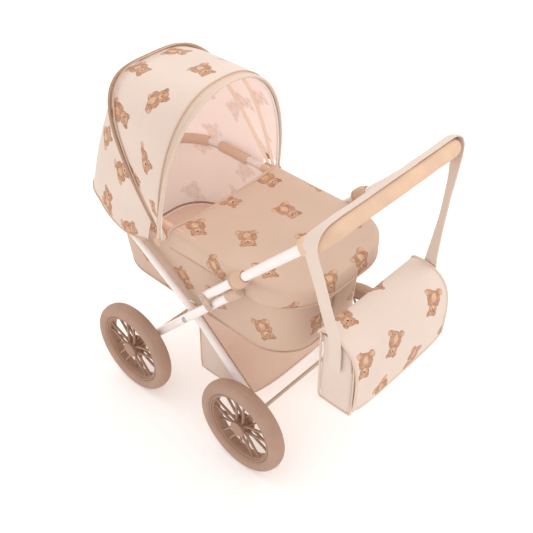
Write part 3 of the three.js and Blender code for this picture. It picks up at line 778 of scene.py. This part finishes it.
# ---- chassis tubes
for end, y, tube_x, tube_r in (
    ("front", -HALF_WHEELBASE, FRONT_X, 7.0),
    ("rear", HALF_WHEELBASE, REAR_X, 6.0),
):
    body = f"{end}_legs"
    ends = [P(-158.7, y, AXLE_Z), P(0, y, AXLE_Z), P(158.7, y, AXLE_Z)]
    rod = tube(f"axle_rod_{end}", ends, 3.0, AXLE_PAINT, end_round=0.8)
    place(rod, body, "axle_paint", f"axle_{end}")
    for side, label in SIDES:
        x0, x1 = tube_x + tube_r + 0.3, 149.0 - 11.3
        sleeve = [(3.3, x0), (6.2, x0), (6.6, x0 + 0.8), (6.6, x1 - 0.8), (6.2, x1), (3.3, x1)]
        sleeve.append(sleeve[0])
        bush = lathe(f"axle_bush_{end}_{label}", sleeve, P(0, y, AXLE_Z), side, TAN, 32)
        place(bush, body, "tan_plastic", f"axle_spacer_{end}_{label}")

REAR_FOOT = (Vector((HALF_WHEELBASE, AXLE_Z)) - PIVOT).normalized()
REAR_UP = (REAR_TOP - PIVOT).normalized()
for side, label in SIDES:
    low, high = on_leg(-(PIVOT - Vector((-HALF_WHEELBASE, AXLE_Z))).length - 8), on_leg(163)
    line = [P(side * FRONT_X, *(low + (high - low) * i / 12)) for i in range(13)]
    leg = tube(f"front_tube_{label}", line, 7.0, PAINT, sides=32, end_round=1.0)
    place(leg, "front_legs", "tube_paint", f"front_leg_{label}")
    wheel = Vector((HALF_WHEELBASE, AXLE_Z))
    halfway = (REAR_TOP + PIVOT) / 2
    bends = [
        P(side * 114.5, *(REAR_TOP + REAR_UP * 7)),
        P(side * 114.5, *(REAR_TOP - REAR_UP * 6)),
        P(side * 113, halfway.x, halfway.y + 1),
        P(side * REAR_X, PIVOT.x + 30 * REAR_UP.x, PIVOT.y + 30 * REAR_UP.y - 1),
        P(side * REAR_X, *PIVOT),
        P(side * REAR_X, *(PIVOT + REAR_FOOT * 30)),
        P(side * REAR_X, *wheel),
        P(side * REAR_X, *(wheel + REAR_FOOT * 8)),
    ]
    leg = tube(f"rear_tube_{label}", smooth_line(bends, 6), 6.0, PAINT, sides=28, end_round=1.0)
    place(leg, "rear_legs", "tube_paint", f"rear_leg_{label}")
    head = rivet(f"cross_rivet_{label}", side, 132.3, PIVOT, 4.6)
    place(head, "rear_legs", "rivet_steel", f"pivot_rivet_{label}")
    head = rivet(f"top_rivet_{label}", side, 120.9, REAR_TOP, 4.0, 1.4)
    place(head, "cot", "rivet_steel", f"leg_top_rivet_{label}")
    for kind, where, body in (
        ("lower", on_leg(LINK_AT), "front_legs"),
        ("upper", on_leg(LINK_AT, HANDLE_OFFSET), "handle_links"),
    ):
        head = rivet(f"link_pin_{kind}_{label}", side, 137.0, where, 4.0)
        place(head, body, "rivet_steel", f"link_rivet_{kind}_{label}")


def link(name, side):
    """A plate with round ends and softened edges."""
    a, b = on_leg(LINK_AT), on_leg(LINK_AT, HANDLE_OFFSET)
    outline = []
    base = math.atan2((b - a).y, (b - a).x)
    for centre, start in ((b, base - math.pi / 2), (a, base + math.pi / 2)):
        for k in range(13):
            angle = start + math.pi * k / 12
            outline.append((centre, Vector((math.cos(angle), math.sin(angle)))))
    vertices, faces = [], []
    for radius, x in ((6.6, 134.5), (7.4, 134.9), (7.4, 136.3), (6.6, 136.8)):
        for centre, out in outline:
            p = centre + out * radius
            vertices.append(P(side * x, p.x, p.y))
    n = len(outline)
    for i in range(3):
        for k in range(n):
            a2, b2 = i * n + k, i * n + (k + 1) % n
            faces.append((a2, b2, b2 + n, a2 + n))
    faces += [tuple(range(n - 1, -1, -1)), tuple(3 * n + k for k in range(n))]
    return tidy(make_object(name, vertices, faces, [TAN]), 50)


for side, label in SIDES:
    place(link(f"link_{label}", side), "handle_links", "tan_plastic", f"link_plate_{label}")

# ---- push handle and its grip
FOAM_FROM = HANDLE_RUN - BEND_R - 6.0


def handle_line(first=0.0):
    """Up one side, across the bar and down the other side."""
    across = [P(100 - 10 * i, *BAR) for i in range(21)]
    return handle_half(1, first) + across + handle_half(-1, first)[::-1]


bar = tube("push_bar", handle_line(), 7.0, PAINT, sides=32, end_round=1.0)
place(bar, "handle", "tube_paint", "handle_frame")
grip = tube("grip_sleeve", handle_line(FOAM_FROM), 13.0, GRIP, sides=36, end_round=2.2)
ripple(grip, 0.5, 60.0)
place(grip, "handle", "grip_foam", "foam_grip")

LOCK_T, LOCK_LONG = 181.0 - LINK_AT + 5.2, 28.0
LOCK_PROFILE = [(7.9, 0.0), (11.2, 0.0), (12.6, 1.2), (13.2, 4.0), (13.2, 5.4), (11.7, 5.9)]
LOCK_PROFILE += [(11.7, 7.1), (13.2, 7.6), (13.3, 12.0), (12.8, 17.0), (11.6, 22.0), (9.9, 26.4)]
LOCK_PROFILE += [(8.9, LOCK_LONG), (7.9, LOCK_LONG), (7.9, 0.0)]
for side, label in SIDES:
    a, b = on_handle(side, LOCK_T), on_handle(side, LOCK_T + LOCK_LONG)
    sleeve = lathe(f"lock_sleeve_{label}", LOCK_PROFILE, a, side, TAN, 48, axis=b - a)
    place(sleeve, f"lock_{label}", "tan_plastic", f"handle_lock_{label}")

# ---- cot rim and its cloth casing
RIM_X, RIM_Z, RIM_HEAD, RIM_FOOT = 104.0, 332.0, -255.0, 176.0


RIM_HEAD_R, RIM_TUBE_END = 92.0, 120.0


def rim_line():
    bend = RIM_HEAD + RIM_HEAD_R
    half = [P(RIM_X, RIM_TUBE_END + (bend - RIM_TUBE_END) * i / 24, RIM_Z) for i in range(24)]
    for i in range(17):
        a = math.pi / 2 * i / 16
        x = RIM_X - RIM_HEAD_R + RIM_HEAD_R * math.cos(a)
        half.append(P(x, bend - RIM_HEAD_R * math.sin(a), RIM_Z))
    return half + [Vector((-p.x, p.y, p.z)) for p in half[::-1]]


rim_path = rim_line()
bar = tube("rim_bar", rim_path, 5.5, PAINT, sides=24, end_round=1.0)
place(bar, "cot", "tube_paint", "rim_tube")
# The casing is cut away in short gaps on both sides, at these places along Y.
GAP_PLACES = [P(side * RIM_X, y, RIM_Z) for side, _ in SIDES for y in (-178.0, -98.0)]
cuts = sorted(min(range(len(rim_path)), key=lambda k: (rim_path[k] - p).length) for p in GAP_PLACES)
cuts = [0] + cuts + [len(rim_path) - 1]
# The first and last stretches lie under the apron, so they are slimmer.
HEAD_CASING_R, APRON_CASING_R = 8.8, 6.9
for index in range(5):
    first = cuts[index] + (2 if index else 1)
    last = cuts[index + 1] - (0 if index == 4 else 1)
    thick = HEAD_CASING_R if 0 < index < 4 else APRON_CASING_R
    stretch = rim_path[first : last + 1]
    casing = tube(f"rim_casing_{index}", stretch, thick, CASING, sides=24, end_round=1.6)
    ripple(casing, 0.8, 80.0, index)
    place(casing, "cot", "print_fabric")


def cot_ring(inset, z, count=100):
    """The cot's plan at a height, as points round from the foot end."""
    t = (z - 192.0) / (326.5 - 192.0)
    half = 96 + 7 * t - inset
    head = -222 + (RIM_HEAD + 222) * t + inset
    foot = 160 + (RIM_FOOT - 160) * t - inset
    head_r, foot_r = 80 + 10 * t - inset, 60 + 8 * t - inset
    return plan(half, head, foot, max(head_r, 4), max(foot_r, 4), z, count)


def evenly(path, count):
    """Evenly spaced points along a path."""
    total = Cloth.run(path)
    points, k = [], 0
    for i in range(count + 1):
        want = total[-1] * i / count
        while k < len(path) - 2 and total[k + 1] < want:
            k += 1
        span = max(total[k + 1] - total[k], 1e-9)
        points.append(path[k].lerp(path[k + 1], min(max((want - total[k]) / span, 0), 1)))
    return points


def plan(half, head, foot, head_r, foot_r, z, count):
    """Evenly spaced points round a rounded rectangle, from the middle of the foot end."""
    path = []
    for cx, cy, r, start in (
        (half - foot_r, foot - foot_r, foot_r, 90),
        (half - head_r, head + head_r, head_r, 0),
        (-(half - head_r), head + head_r, head_r, -90),
        (-(half - foot_r), foot - foot_r, foot_r, -180),
    ):
        for k in range(13):
            a = math.radians(start - 90 * k / 12)
            path.append(Vector((cx + r * math.cos(a), cy + r * math.sin(a))))
    path = [Vector((0, foot))] + path + [Vector((0, foot))]
    return [P(p.x, p.y, z) for p in evenly(path, count)]


def make_cot():
    levels = [(0.0, 326.0), (0.3, 318.0), (1.0, 300.0), (1.6, 280.0), (1.8, 258.0), (1.4, 236.0)]
    levels += [(0.8, 216.0), (0.6, 204.0), (1.6, 197.0), (4.0, 193.5), (8.0, 192.4)]
    levels += [(20.0, 192.2), (40.0, 192.2), (60.0, 192.2), (80.0, 192.2)]
    rows = [cot_ring(inset, z) for inset, z in levels]
    cloth = Cloth("cot_cloth", rows, [SHADED_PRINT_FABRIC, LINING])
    ripple(cloth.obj, 2.6, 14.0, 3.0, (1.6, 1.0, 0.5))
    cot = cloth.thicken(1.6, True)
    hems = [
        hem(cot_ring(0.4, 195.5)[:-1], 1.5, closed=True),
        hem(cot_ring(-0.4, 324.0)[:-1], 1.6, closed=True),
    ]
    cot = join([cot] + hems)
    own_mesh(cot)
    place(cot, "cot", "print_fabric", "cot_tub")


make_cot()


# ---- mattress
def make_mattress():
    levels = [(6.0, 198.6), (2.0, 200.6), (0.6, 206.0), (0.4, 214.0), (1.6, 221.0), (5.0, 225.4)]
    levels += [(14.0, 228.0), (34.0, 230.0), (60.0, 230.6), (84.0, 230.8)]
    rows = [
        plan(89 - i, -206 + i, 149 - i, max(64 - i, 3), max(48 - i, 3), z, 72) for i, z in levels
    ]
    rows = [[P(0, -28, 198.6)] * 73] + rows + [[P(0, -28, 231.0)] * 73]
    flat = [(p.x, p.y) for row in rows for p in row]
    cloth = Cloth("mattress_pad", rows, [MATTRESS], flat)
    pad = tidy(cloth.obj, 70)
    pad = puff(pad)
    ring = plan(86, -203, 146, 61, 45, 226.0, 90)[:-1]
    edge = hem(ring, 1.7, DARK_BINDING, closed=True)
    pad = join([pad, edge])
    place(pad, "cot_floor", "mattress_fabric", "mattress")


VOXEL, SIM_FRAMES, SWELL_CAP, PRESSURE = 0.006, 20, 5.0, 4.0


def puff(obj):
    """Fills a closed pad by cloth pressure, then limits how far it may swell."""
    copy = obj.copy()
    copy.data = obj.data.copy()
    bpy.context.scene.collection.objects.link(copy)
    remesh = copy.modifiers.new("remesh", "REMESH")
    remesh.mode = "VOXEL"
    remesh.voxel_size = VOXEL
    apply_modifiers(copy)
    rest = [v.co.copy() for v in copy.data.vertices]
    sim = copy.modifiers.new("cloth", "CLOTH")
    sim.settings.quality = 5
    sim.settings.use_pressure = True
    sim.settings.uniform_pressure_force = PRESSURE
    sim.settings.effector_weights.gravity = 0
    sim.point_cache.frame_start = 1
    sim.point_cache.frame_end = SIM_FRAMES
    for f in range(1, SIM_FRAMES + 1):
        bpy.context.scene.frame_set(f)
    apply_modifiers(copy)
    bpy.context.scene.frame_set(1)
    for v, r in zip(copy.data.vertices, rest):
        move = v.co - r
        if move.length > SWELL_CAP * MM:
            v.co = r + move.normalized() * SWELL_CAP * MM
    copy.data.materials.clear()
    copy.data.materials.append(MATTRESS)
    layer = copy.data.uv_layers.get("flat") or copy.data.uv_layers.new(name="flat")
    for loop in copy.data.loops:
        p = copy.data.vertices[loop.vertex_index].co
        layer.data[loop.index].uv = (p.x, p.y)
    copy.data.shade_smooth()
    bpy.data.objects.remove(obj)
    copy.name = "mattress_pad"
    return copy


make_mattress()


# ---- apron
APRON_X, APRON_HEAD, APRON_FOOT, APRON_TOP = 117.0, -50.0, 191.5, 340.4


def apron_path(inset, count=72):
    """From the head edge on one side, round the foot, to the head edge on the other side."""
    half, foot = max(APRON_X - inset, 0.0), APRON_FOOT - inset
    r = min(max(78.0 - inset, 0.0), half)
    path = [Vector((half, APRON_HEAD))]
    for k in range(17):
        a = math.pi / 2 * k / 16
        path.append(Vector((half - r + r * math.cos(a), foot - r + r * math.sin(a))))
    return evenly(path + [Vector((-p.x, p.y)) for p in path[::-1]], count)


def make_apron():
    levels = [(0.6, 309.0), (0.2, 316.0), (0.0, 323.0), (0.0, 330.0), (0.6, 335.0), (2.4, 338.4)]
    levels += [(5.4, 339.9)] + [(10.0 + 107.0 * k / 15, APRON_TOP) for k in range(16)]
    rows, flat = [], []
    for level, (inset, z) in enumerate(levels):
        row = []
        for p in apron_path(inset):
            depth = min(inset, 60) / 60
            sag = 5.0 * depth * depth * (3 - 2 * depth)
            row.append(P(p.x, p.y, z - sag))
            edge = Vector((p.x, p.y - 60))
            outwards = edge.normalized() if edge.length > 1 else Vector((1, 0))
            spread = max(0.0, 338.0 - z) if level < 5 else 0.0
            flat.append(((p.x + outwards.x * spread) * MM, (p.y + outwards.y * spread) * MM))
        rows.append(row)
    cloth = Cloth("apron_cloth", rows, [SHADED_PRINT_FABRIC, LINING], flat)
    ripple(cloth.obj, 2.2, 17.0, 8.0, (1.0, 0.7, 1.0))
    ripple(cloth.obj, 0.8, 46.0, 2.0)
    head = [row[0].copy() for row in rows] + [row[-1].copy() for row in rows[::-1]]
    tidy(cloth.obj, 60)
    apron = cloth.thicken(1.4, True)
    extra = [
        tube("hem", smooth_line(head[3:-3], 2), 2.3, TAB, sides=10),
        hem(rows[0], 1.6),
    ]
    apron = join([apron] + extra)
    drop = APRON_TOP - levels[0][1]
    cloth.size = (2 * (APRON_X + drop) * MM, (APRON_FOOT - APRON_HEAD + drop) * MM)
    span(apron, "print_fabric", "apron", ("cot", "apron"), P(0, 178, 340), P(0, 118, 340))


make_apron()

# ---- hood
PIN_Y, PIN_Z = -60.0, 322.0
BOWS = {
    "rear": (115.8, 238.0, 55.0),
    "mid": (120.2, 214.0, 74.0),
    "front": (124.6, 214.0, 95.7),
}


SQUAREST, ROUNDEST, SQUARE_LOSS, SQUAREST_LEAN = 3.6, 2.3, 0.0319, 55


def arch(half, reach, lean, t):
    """A squarish arch about the hood's pin; the ones further back have squarer shoulders."""
    square = SQUAREST - (lean - SQUAREST_LEAN) * SQUARE_LOSS
    power = 2 / min(max(square, ROUNDEST), SQUAREST)
    c = math.cos(t)
    x = half * math.copysign(abs(c) ** power, c)
    up = reach * abs(math.sin(t)) ** power
    a = math.radians(lean)
    return P(x, PIN_Y - up * math.cos(a), PIN_Z + up * math.sin(a))


def spread(first, last, steps, ease=1.35):
    """Values of t that crowd at both ends, where the arch is steep."""
    values = []
    for i in range(steps + 1):
        s = 2 * i / steps - 1
        eased = math.copysign(1 - (1 - abs(s)) ** ease, s)
        values.append((first + last) / 2 + (last - first) / 2 * eased)
    return values


def low_lean(up):
    """The hood's lower edge hangs below the rim near the pin and meets it at the head end."""
    if up > 150:
        return -1.0
    if up > 85:
        return -1.0 - 16.0 * (150 - up) / 65
    return -17.0 - 11.0 * (85 - up) / 85


CLOTH_LIFT, CURTAIN_PULL = 4.2, 0.78


def hood_rows(first, last, rows, bottom, billow, columns=64):
    (x0, r0, a0), (x1, r1, a1) = first, last
    made = []
    for i in range(rows + 1):
        s = i / rows
        swell = billow * math.sin(math.pi * s)
        row = []
        for t in spread(0.03, math.pi - 0.03, columns):
            x = x0 + (x1 - x0) * s + CLOTH_LIFT
            r = r0 + (r1 - r0) * s + CLOTH_LIFT - swell * abs(math.sin(t))
            up = r * abs(math.sin(t)) ** (2 / SQUAREST)
            lean = a0 + (a1 - a0) * s
            if bottom:
                lean = low_lean(up) + (a1 - low_lean(up)) * s
            row.append(arch(x, r, lean, t))
        made.append(row)
    if bottom:
        for j in range(columns + 1):
            low, high = made[0][j].copy(), made[-1][j].copy()
            for i in range(rows + 1):
                s = i / rows
                straight = low.lerp(high, s)
                made[i][j] = made[i][j].lerp(straight, CURTAIN_PULL)
    return [row[::-1] for row in made]


# Each panel: its lower and upper arches, rows, billow, CAD node, bodies, and where it turns.
HOOD_PANELS = (
    ("hood_back", (123.0, 211.0, 0.0), BOWS["rear"], 22, 0.0, "hood_curtain"),
    ("hood_middle", BOWS["rear"], BOWS["mid"], 9, 2.0, "hood_panel_rear"),
    ("hood_front", BOWS["mid"], (124.6, 214.0, 97.0), 12, 2.0, "hood_panel_front"),
)
HOOD_TURNS = (
    ("cot", "hood_rear", P(0, -235, 350), P(0, -180, 500)),
    ("hood_rear", "hood_mid", P(0, -150, 420), P(0, -105, 437)),
    ("hood_mid", "hood_front", P(0, -100, 440), P(0, -50, 445)),
)
HOOD_HOLD = (
    ("hood_bow_rear", "rim_bar"),
    ("hood_bow_rear", "hood_bow_mid"),
    ("hood_bow_mid", "hood_bow_front"),
)
BAND_ROWS = 2


def make_hood():
    start_v = 0.0
    for panel, turn, hold in zip(HOOD_PANELS, HOOD_TURNS, HOOD_HOLD):
        name, first, last, rows, billow, node = panel
        made = hood_rows(first, last, rows, name == "hood_back", billow)
        cloth = Cloth(name, made, [LIT_PRINT_FABRIC, HOOD_LINING], start=(0.0, start_v), fan=True)
        ripple(cloth.obj, 1.6, 16.0, 5.0, (1.4, 1.0, 0.6))
        start_v += Cloth.run([row[len(row) // 2] for row in made])[-1]
        if name == "hood_front":
            cloth.obj.data.materials.append(LIGHT_BINDING)
            band = len(cloth.obj.data.polygons) * (rows - BAND_ROWS) // rows
            for face in cloth.obj.data.polygons[band:]:
                face.material_index = 2
        obj = cloth.thicken(1.2, True)
        if name == "hood_back":
            obj = join([obj, hem(made[0], 1.7)])
        span(obj, "print_fabric", node, turn[:2], turn[2], turn[3])

    turns = spread(0.012, math.pi - 0.012, 84)
    for name, (x, reach, lean) in BOWS.items():
        line = [arch(x, reach, lean, t) for t in turns]
        line = [P(x, PIN_Y, PIN_Z)] + line + [P(-x, PIN_Y, PIN_Z)]
        radius, material = (2.0, BOW) if name == "front" else (2.8, HOOP_SLEEVE)
        bow = tube(f"hoop_{name}", line, radius, material, sides=14, end_round=1.0)
        place(bow, f"hood_{name}", "hood_steel", f"hood_bow_{name}")
    for name, lift, lean_extra, radius, material in (
        ("front", 4.2, 1.4, 2.5, LIGHT_BINDING),
        ("front", 4.9, -2.5, 0.9, BINDING),
        ("rear", 6.4, 0.0, 2.6, DARK_BINDING),
        ("rear", 5.8, 2.6, 1.2, BINDING),
    ):
        x, reach, lean = BOWS[name]
        line = [arch(x + lift, reach + lift, lean + lean_extra, t) for t in turns]
        piping = tube(f"piping_{name}_{int(lift * 10)}", line, radius, material, sides=10)
        place(piping, f"hood_{name}", "print_fabric")
    for side, label in SIDES:
        profile = [(0.02, 132.4), (4.0, 132.2), (6.6, 131.2), (7.4, 129.9), (7.4, 129.2)]
        profile.append((0.02, 129.2))
        knob = lathe(f"hood_knob_{label}", profile, P(0, PIN_Y, PIN_Z), side, TAN, 32)
        place(knob, "cot", "tan_plastic", f"hood_pin_{label}")


make_hood()


# ---- basket
def make_basket():
    rows, flat = [], []
    path = [(-14.0, 190.0), (-15.0, 165.0), (-16.2, 140.0), (-17.2, 110.0), (-17.6, 86.0)]
    path += [(-14.0, 75.0), (-4.0, 72.6), (10.0, 72.2), (30.0, 72.0), (50.0, 72.4)]
    path += [(70.0, 73.6), (86.0, 75.8), (98.0, 79.0)]
    columns = 36
    run = 0.0
    for i, (y, z) in enumerate(path):
        if i:
            run += math.hypot(y - path[i - 1][0], z - path[i - 1][1])
        row = []
        for j in range(columns + 1):
            s = 2 * j / columns - 1
            x = 100.0 * s
            lift = 0.0
            if y > 0:
                lift = (abs(s) ** 3) * 14.0 * min(1.0, (y / 98.0) ** 2)
            bow = -3.0 * (1 - s * s) if i < 5 else 0.0
            row.append(P(x, y - bow, z + lift))
            flat.append(((x + 300) * MM, run * MM))
        rows.append(row)
    cloth = Cloth("basket_cloth", [row[::-1] for row in rows], [BASKET_CLOTH, BASKET_CLOTH], flat)
    ripple(cloth.obj, 1.8, 18.0, 4.0)
    parts = [cloth.thicken(1.3, True)]
    for row, radius in ((rows[-1], 1.6), (rows[0], 1.4)):
        parts.append(hem(row, radius, LIGHT_BINDING))
    for side, _ in SIDES:
        grid, spots = [], []
        for i in range(19):
            s = i / 18
            y = -14.5 + 112.0 * s
            floor_z = 72.5 + 14.0 * min(1.0, (max(y, 0) / 98.0) ** 2)
            top = 190.0 - 96.0 * s
            row = []
            for j in range(13):
                q = j / 12
                bulge = 2.0 * math.sin(math.pi * q) * math.sin(math.pi * s)
                row.append(P(side * (100.2 + bulge - 1.0), y, floor_z + (top - floor_z) * q))
                spots.append(((y + 700 * side) * MM, (floor_z + (top - floor_z) * q) * MM))
            grid.append(row)
        panel = Cloth("panel", grid, [PLAIN_FABRIC, PLAIN_FABRIC], spots)
        ripple(panel.obj, 1.2, 22.0, 6.0)
        parts.append(panel.thicken(1.3, True, offset=0.0))
        parts.append(tube("hem", [row[-1] for row in grid], 1.9, BINDING, sides=10))
        parts.append(hem([row[0] for row in grid], 1.5))
        parts.append(hem(grid[0], 1.5))
    basket = join(parts)
    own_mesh(basket)
    place(basket, "cot_floor", "print_fabric", "basket")


make_basket()


# ---- bag
def box_ring(half, y0, y1, r, z, count=64, bulge=0.0):
    points = plan(half, y0, y1, r, r, z, count)
    out = []
    for p in points:
        x = p.x / MM
        y = p.y / MM - SHIFT_Y
        middle = (y0 + y1) / 2
        side = 1 if y > middle else -1
        swell = bulge * (1 - min(abs(x) / half, 1) ** 2) * side
        out.append(P(x, y + swell, z))
    return out


def make_bag():
    levels = [(6.0, 187.0, 0.0), (2.0, 188.0, 0.4), (0.4, 191.0, 1.0), (0.0, 200.0, 2.4)]
    levels.append((0.2, 220.0, 4.0))
    levels += [(0.8, 245.0, 4.4), (1.4, 264.0, 3.6), (1.6, 276.0, 3.0), (2.8, 284.0, 1.8)]
    levels += [(5.6, 291.5, 0.8), (10.0, 298.0, 0.2), (16.0, 303.0, 0.0), (24.0, 306.5, 0.0)]
    rows = []
    for i, z, b in levels:
        across = min(i, 1.6) if z > 260 else i
        rows.append(box_ring(102.0 - across, 226.0 + across, 284.5 - i, 7.0, z, bulge=b))
    bottom = []
    for i in (95.0, 60.0, 30.0):
        across = min(i, 27)
        bottom.append(box_ring(102.0 - i, 226.0 + across, 284.5 - across, 3.0, 186.6))
    shell = [row[::-1] for row in bottom + rows]
    cloth = Cloth("bag_cloth", shell, [LIT_PRINT_FABRIC, BAG_LINING], start=(1.3, 0.0))
    ripple(cloth.obj, 1.1, 20.0, 9.0)
    cloth.obj.data.materials.append(PLAIN_FABRIC)
    for face in cloth.obj.data.polygons:
        if abs(face.normal.x) > 0.7:
            face.material_index = 2
    parts = [cloth.thicken(1.4, True)]
    outline = [(227, 311), (226.4, 290), (227, 250), (227, 210), (228, 190), (236, 187.6)]
    outline += [(256, 187.0), (275, 187.6), (283, 190), (284.6, 210), (285, 250)]
    outline += [(283.6, 280), (278, 300)]
    for x in (101.2, -101.2):
        loop = [P(x, y, z) for y, z in outline]
        parts.append(hem(smooth_line(loop, 4), 1.6, LIGHT_BINDING))
    bag = join(parts)
    place(bag, "bag", "print_fabric", "bag_body")

    path = [(224.0, 309.0), (225.0, 313.4), (229.0, 316.0), (237.0, 316.8), (247.0, 316.4)]
    path += [(257.0, 314.6), (266.0, 311.2), (274.0, 306.2), (280.6, 299.6), (285.4, 291.6)]
    path += [(288.6, 282.4), (290.6, 272.0)]
    path += [(291.8, 256.0), (291.8, 238.0), (291.2, 221.0), (290.4, 206.0), (290.0, 199.0)]
    rows = []
    columns = 44
    for i, (y, z) in enumerate(path):
        row = []
        for j in range(columns + 1):
            s = 2 * j / columns - 1
            sag = 1.6 * (1 - s * s) if i < 6 else 0.0
            out = 1.4 * (1 - s * s) if i >= 9 else 0.0
            lifts = 9.0 * abs(s) ** 9 * max(0.0, (i - 12) / 4)
            row.append(P(103.0 * s, y + out, z - sag + lifts))
        rows.append(row)
    cloth = Cloth("flap_cloth", rows, [LIT_PRINT_FABRIC, BAG_LINING], start=(2.0, 0.02))
    ripple(cloth.obj, 1.3, 18.0, 12.0)
    flap = cloth.thicken(1.4, True, offset=0.0)
    border = [row[0] for row in rows] + rows[-1][1:-1] + [row[-1] for row in rows[::-1]]
    flap = join([flap, tube("piping", border, 2.1, LIGHT_BINDING, sides=10)])
    place(flap, "bag_flap", "print_fabric", "bag_flap")


make_bag()


def make_strap():
    """A flat webbing loop from one end of the bag, over the grip, to the other end.

    Each point has X, Y and Z, and a last value that is 1 where the webbing lies on the grip.
    """
    half = [(105.0, 254, 262, 0.0), (105.2, 254, 284, 0.0), (107.4, 253, 316, 0.0)]
    half += [(122.5, 251, 372, 0.0), (137.5, 248, 430, 0.0), (146.5, 245, 466, 0.05)]
    half += [(150.6, 242, 488, 0.2), (145.5, 240.5, 502, 0.5), (132.0, 240.2, 509.2, 0.9)]
    half += [(112.0, 240, 510.2, 1.0), (80.0, 240, 510.0, 1.0), (40.0, 240, 509.9, 1.0)]
    line = [Vector(p) for p in half] + [Vector((0, 240, 509.9, 1.0))]
    line += [Vector((-x, y, z, w)) for x, y, z, w in half[::-1]]
    rows = []
    for x, y, z, w in smooth_line(line, 6):
        w = min(max(w, 0.0), 1.0)
        turn = max(0.0, 1 - abs(z - 400) / 90) if x < 0 else 0.0
        level = Vector((0.8 * turn * (2 - turn), 1, 0))
        across = level.lerp(Vector((0, 0.78, 0.62)), w).normalized()
        crown = Vector((0, -0.62, 0.78)) * w
        row = []
        for k in range(9):
            s = 2 * k / 8 - 1
            row.append(P(x, y, z) + across * (10.5 * s) * MM - crown * (3.4 * s * s) * MM)
        rows.append(row)
    cloth = Cloth("strap_webbing", rows, [STRAP, STRAP])
    ripple(cloth.obj, 0.9, 30.0, 1.0)
    strap = cloth.thicken(1.8, offset=0.0, degrees=40)
    inset = 0.16
    for k in (0, 8):
        seam = [row[k] + (row[4] - row[k]) * inset for row in rows]
        strap = join([strap, tube("stitching", seam, 0.95, STRAP, sides=6)])
    span(strap, "strap_webbing", "bag_strap", ("handle", "bag"), P(0, 249, 480), P(0, 253, 320))


make_strap()

# ---- fabric tab at the leg's tip
for side, label in SIDES:
    a, b = on_leg(138), on_leg(166)
    line = [P(side * FRONT_X, *(a + (b - a) * i / 6)) for i in range(7)]
    wrap = tube(f"leg_tab_{label}", line, 8.6, TAB, sides=24, end_round=2.4)
    ripple(wrap, 1.0, 80.0, side)
    place(wrap, "front_legs", "print_fabric")

# ---- CAD nodes that are shown as they are
for node, material in (
    ("base_board", BOARD),
    ("pivot_spacer_left", WHITE_PLASTIC),
    ("pivot_spacer_right", WHITE_PLASTIC),
    ("rim_bracket_left", STEEL),
    ("rim_bracket_right", STEEL),
    ("hood_bracket_left", TAN),
    ("hood_bracket_right", TAN),
):
    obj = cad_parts[node]
    obj.data.materials.clear()
    obj.data.materials.append(material)
    obj.data.set_sharp_from_angle(angle=math.radians(35))
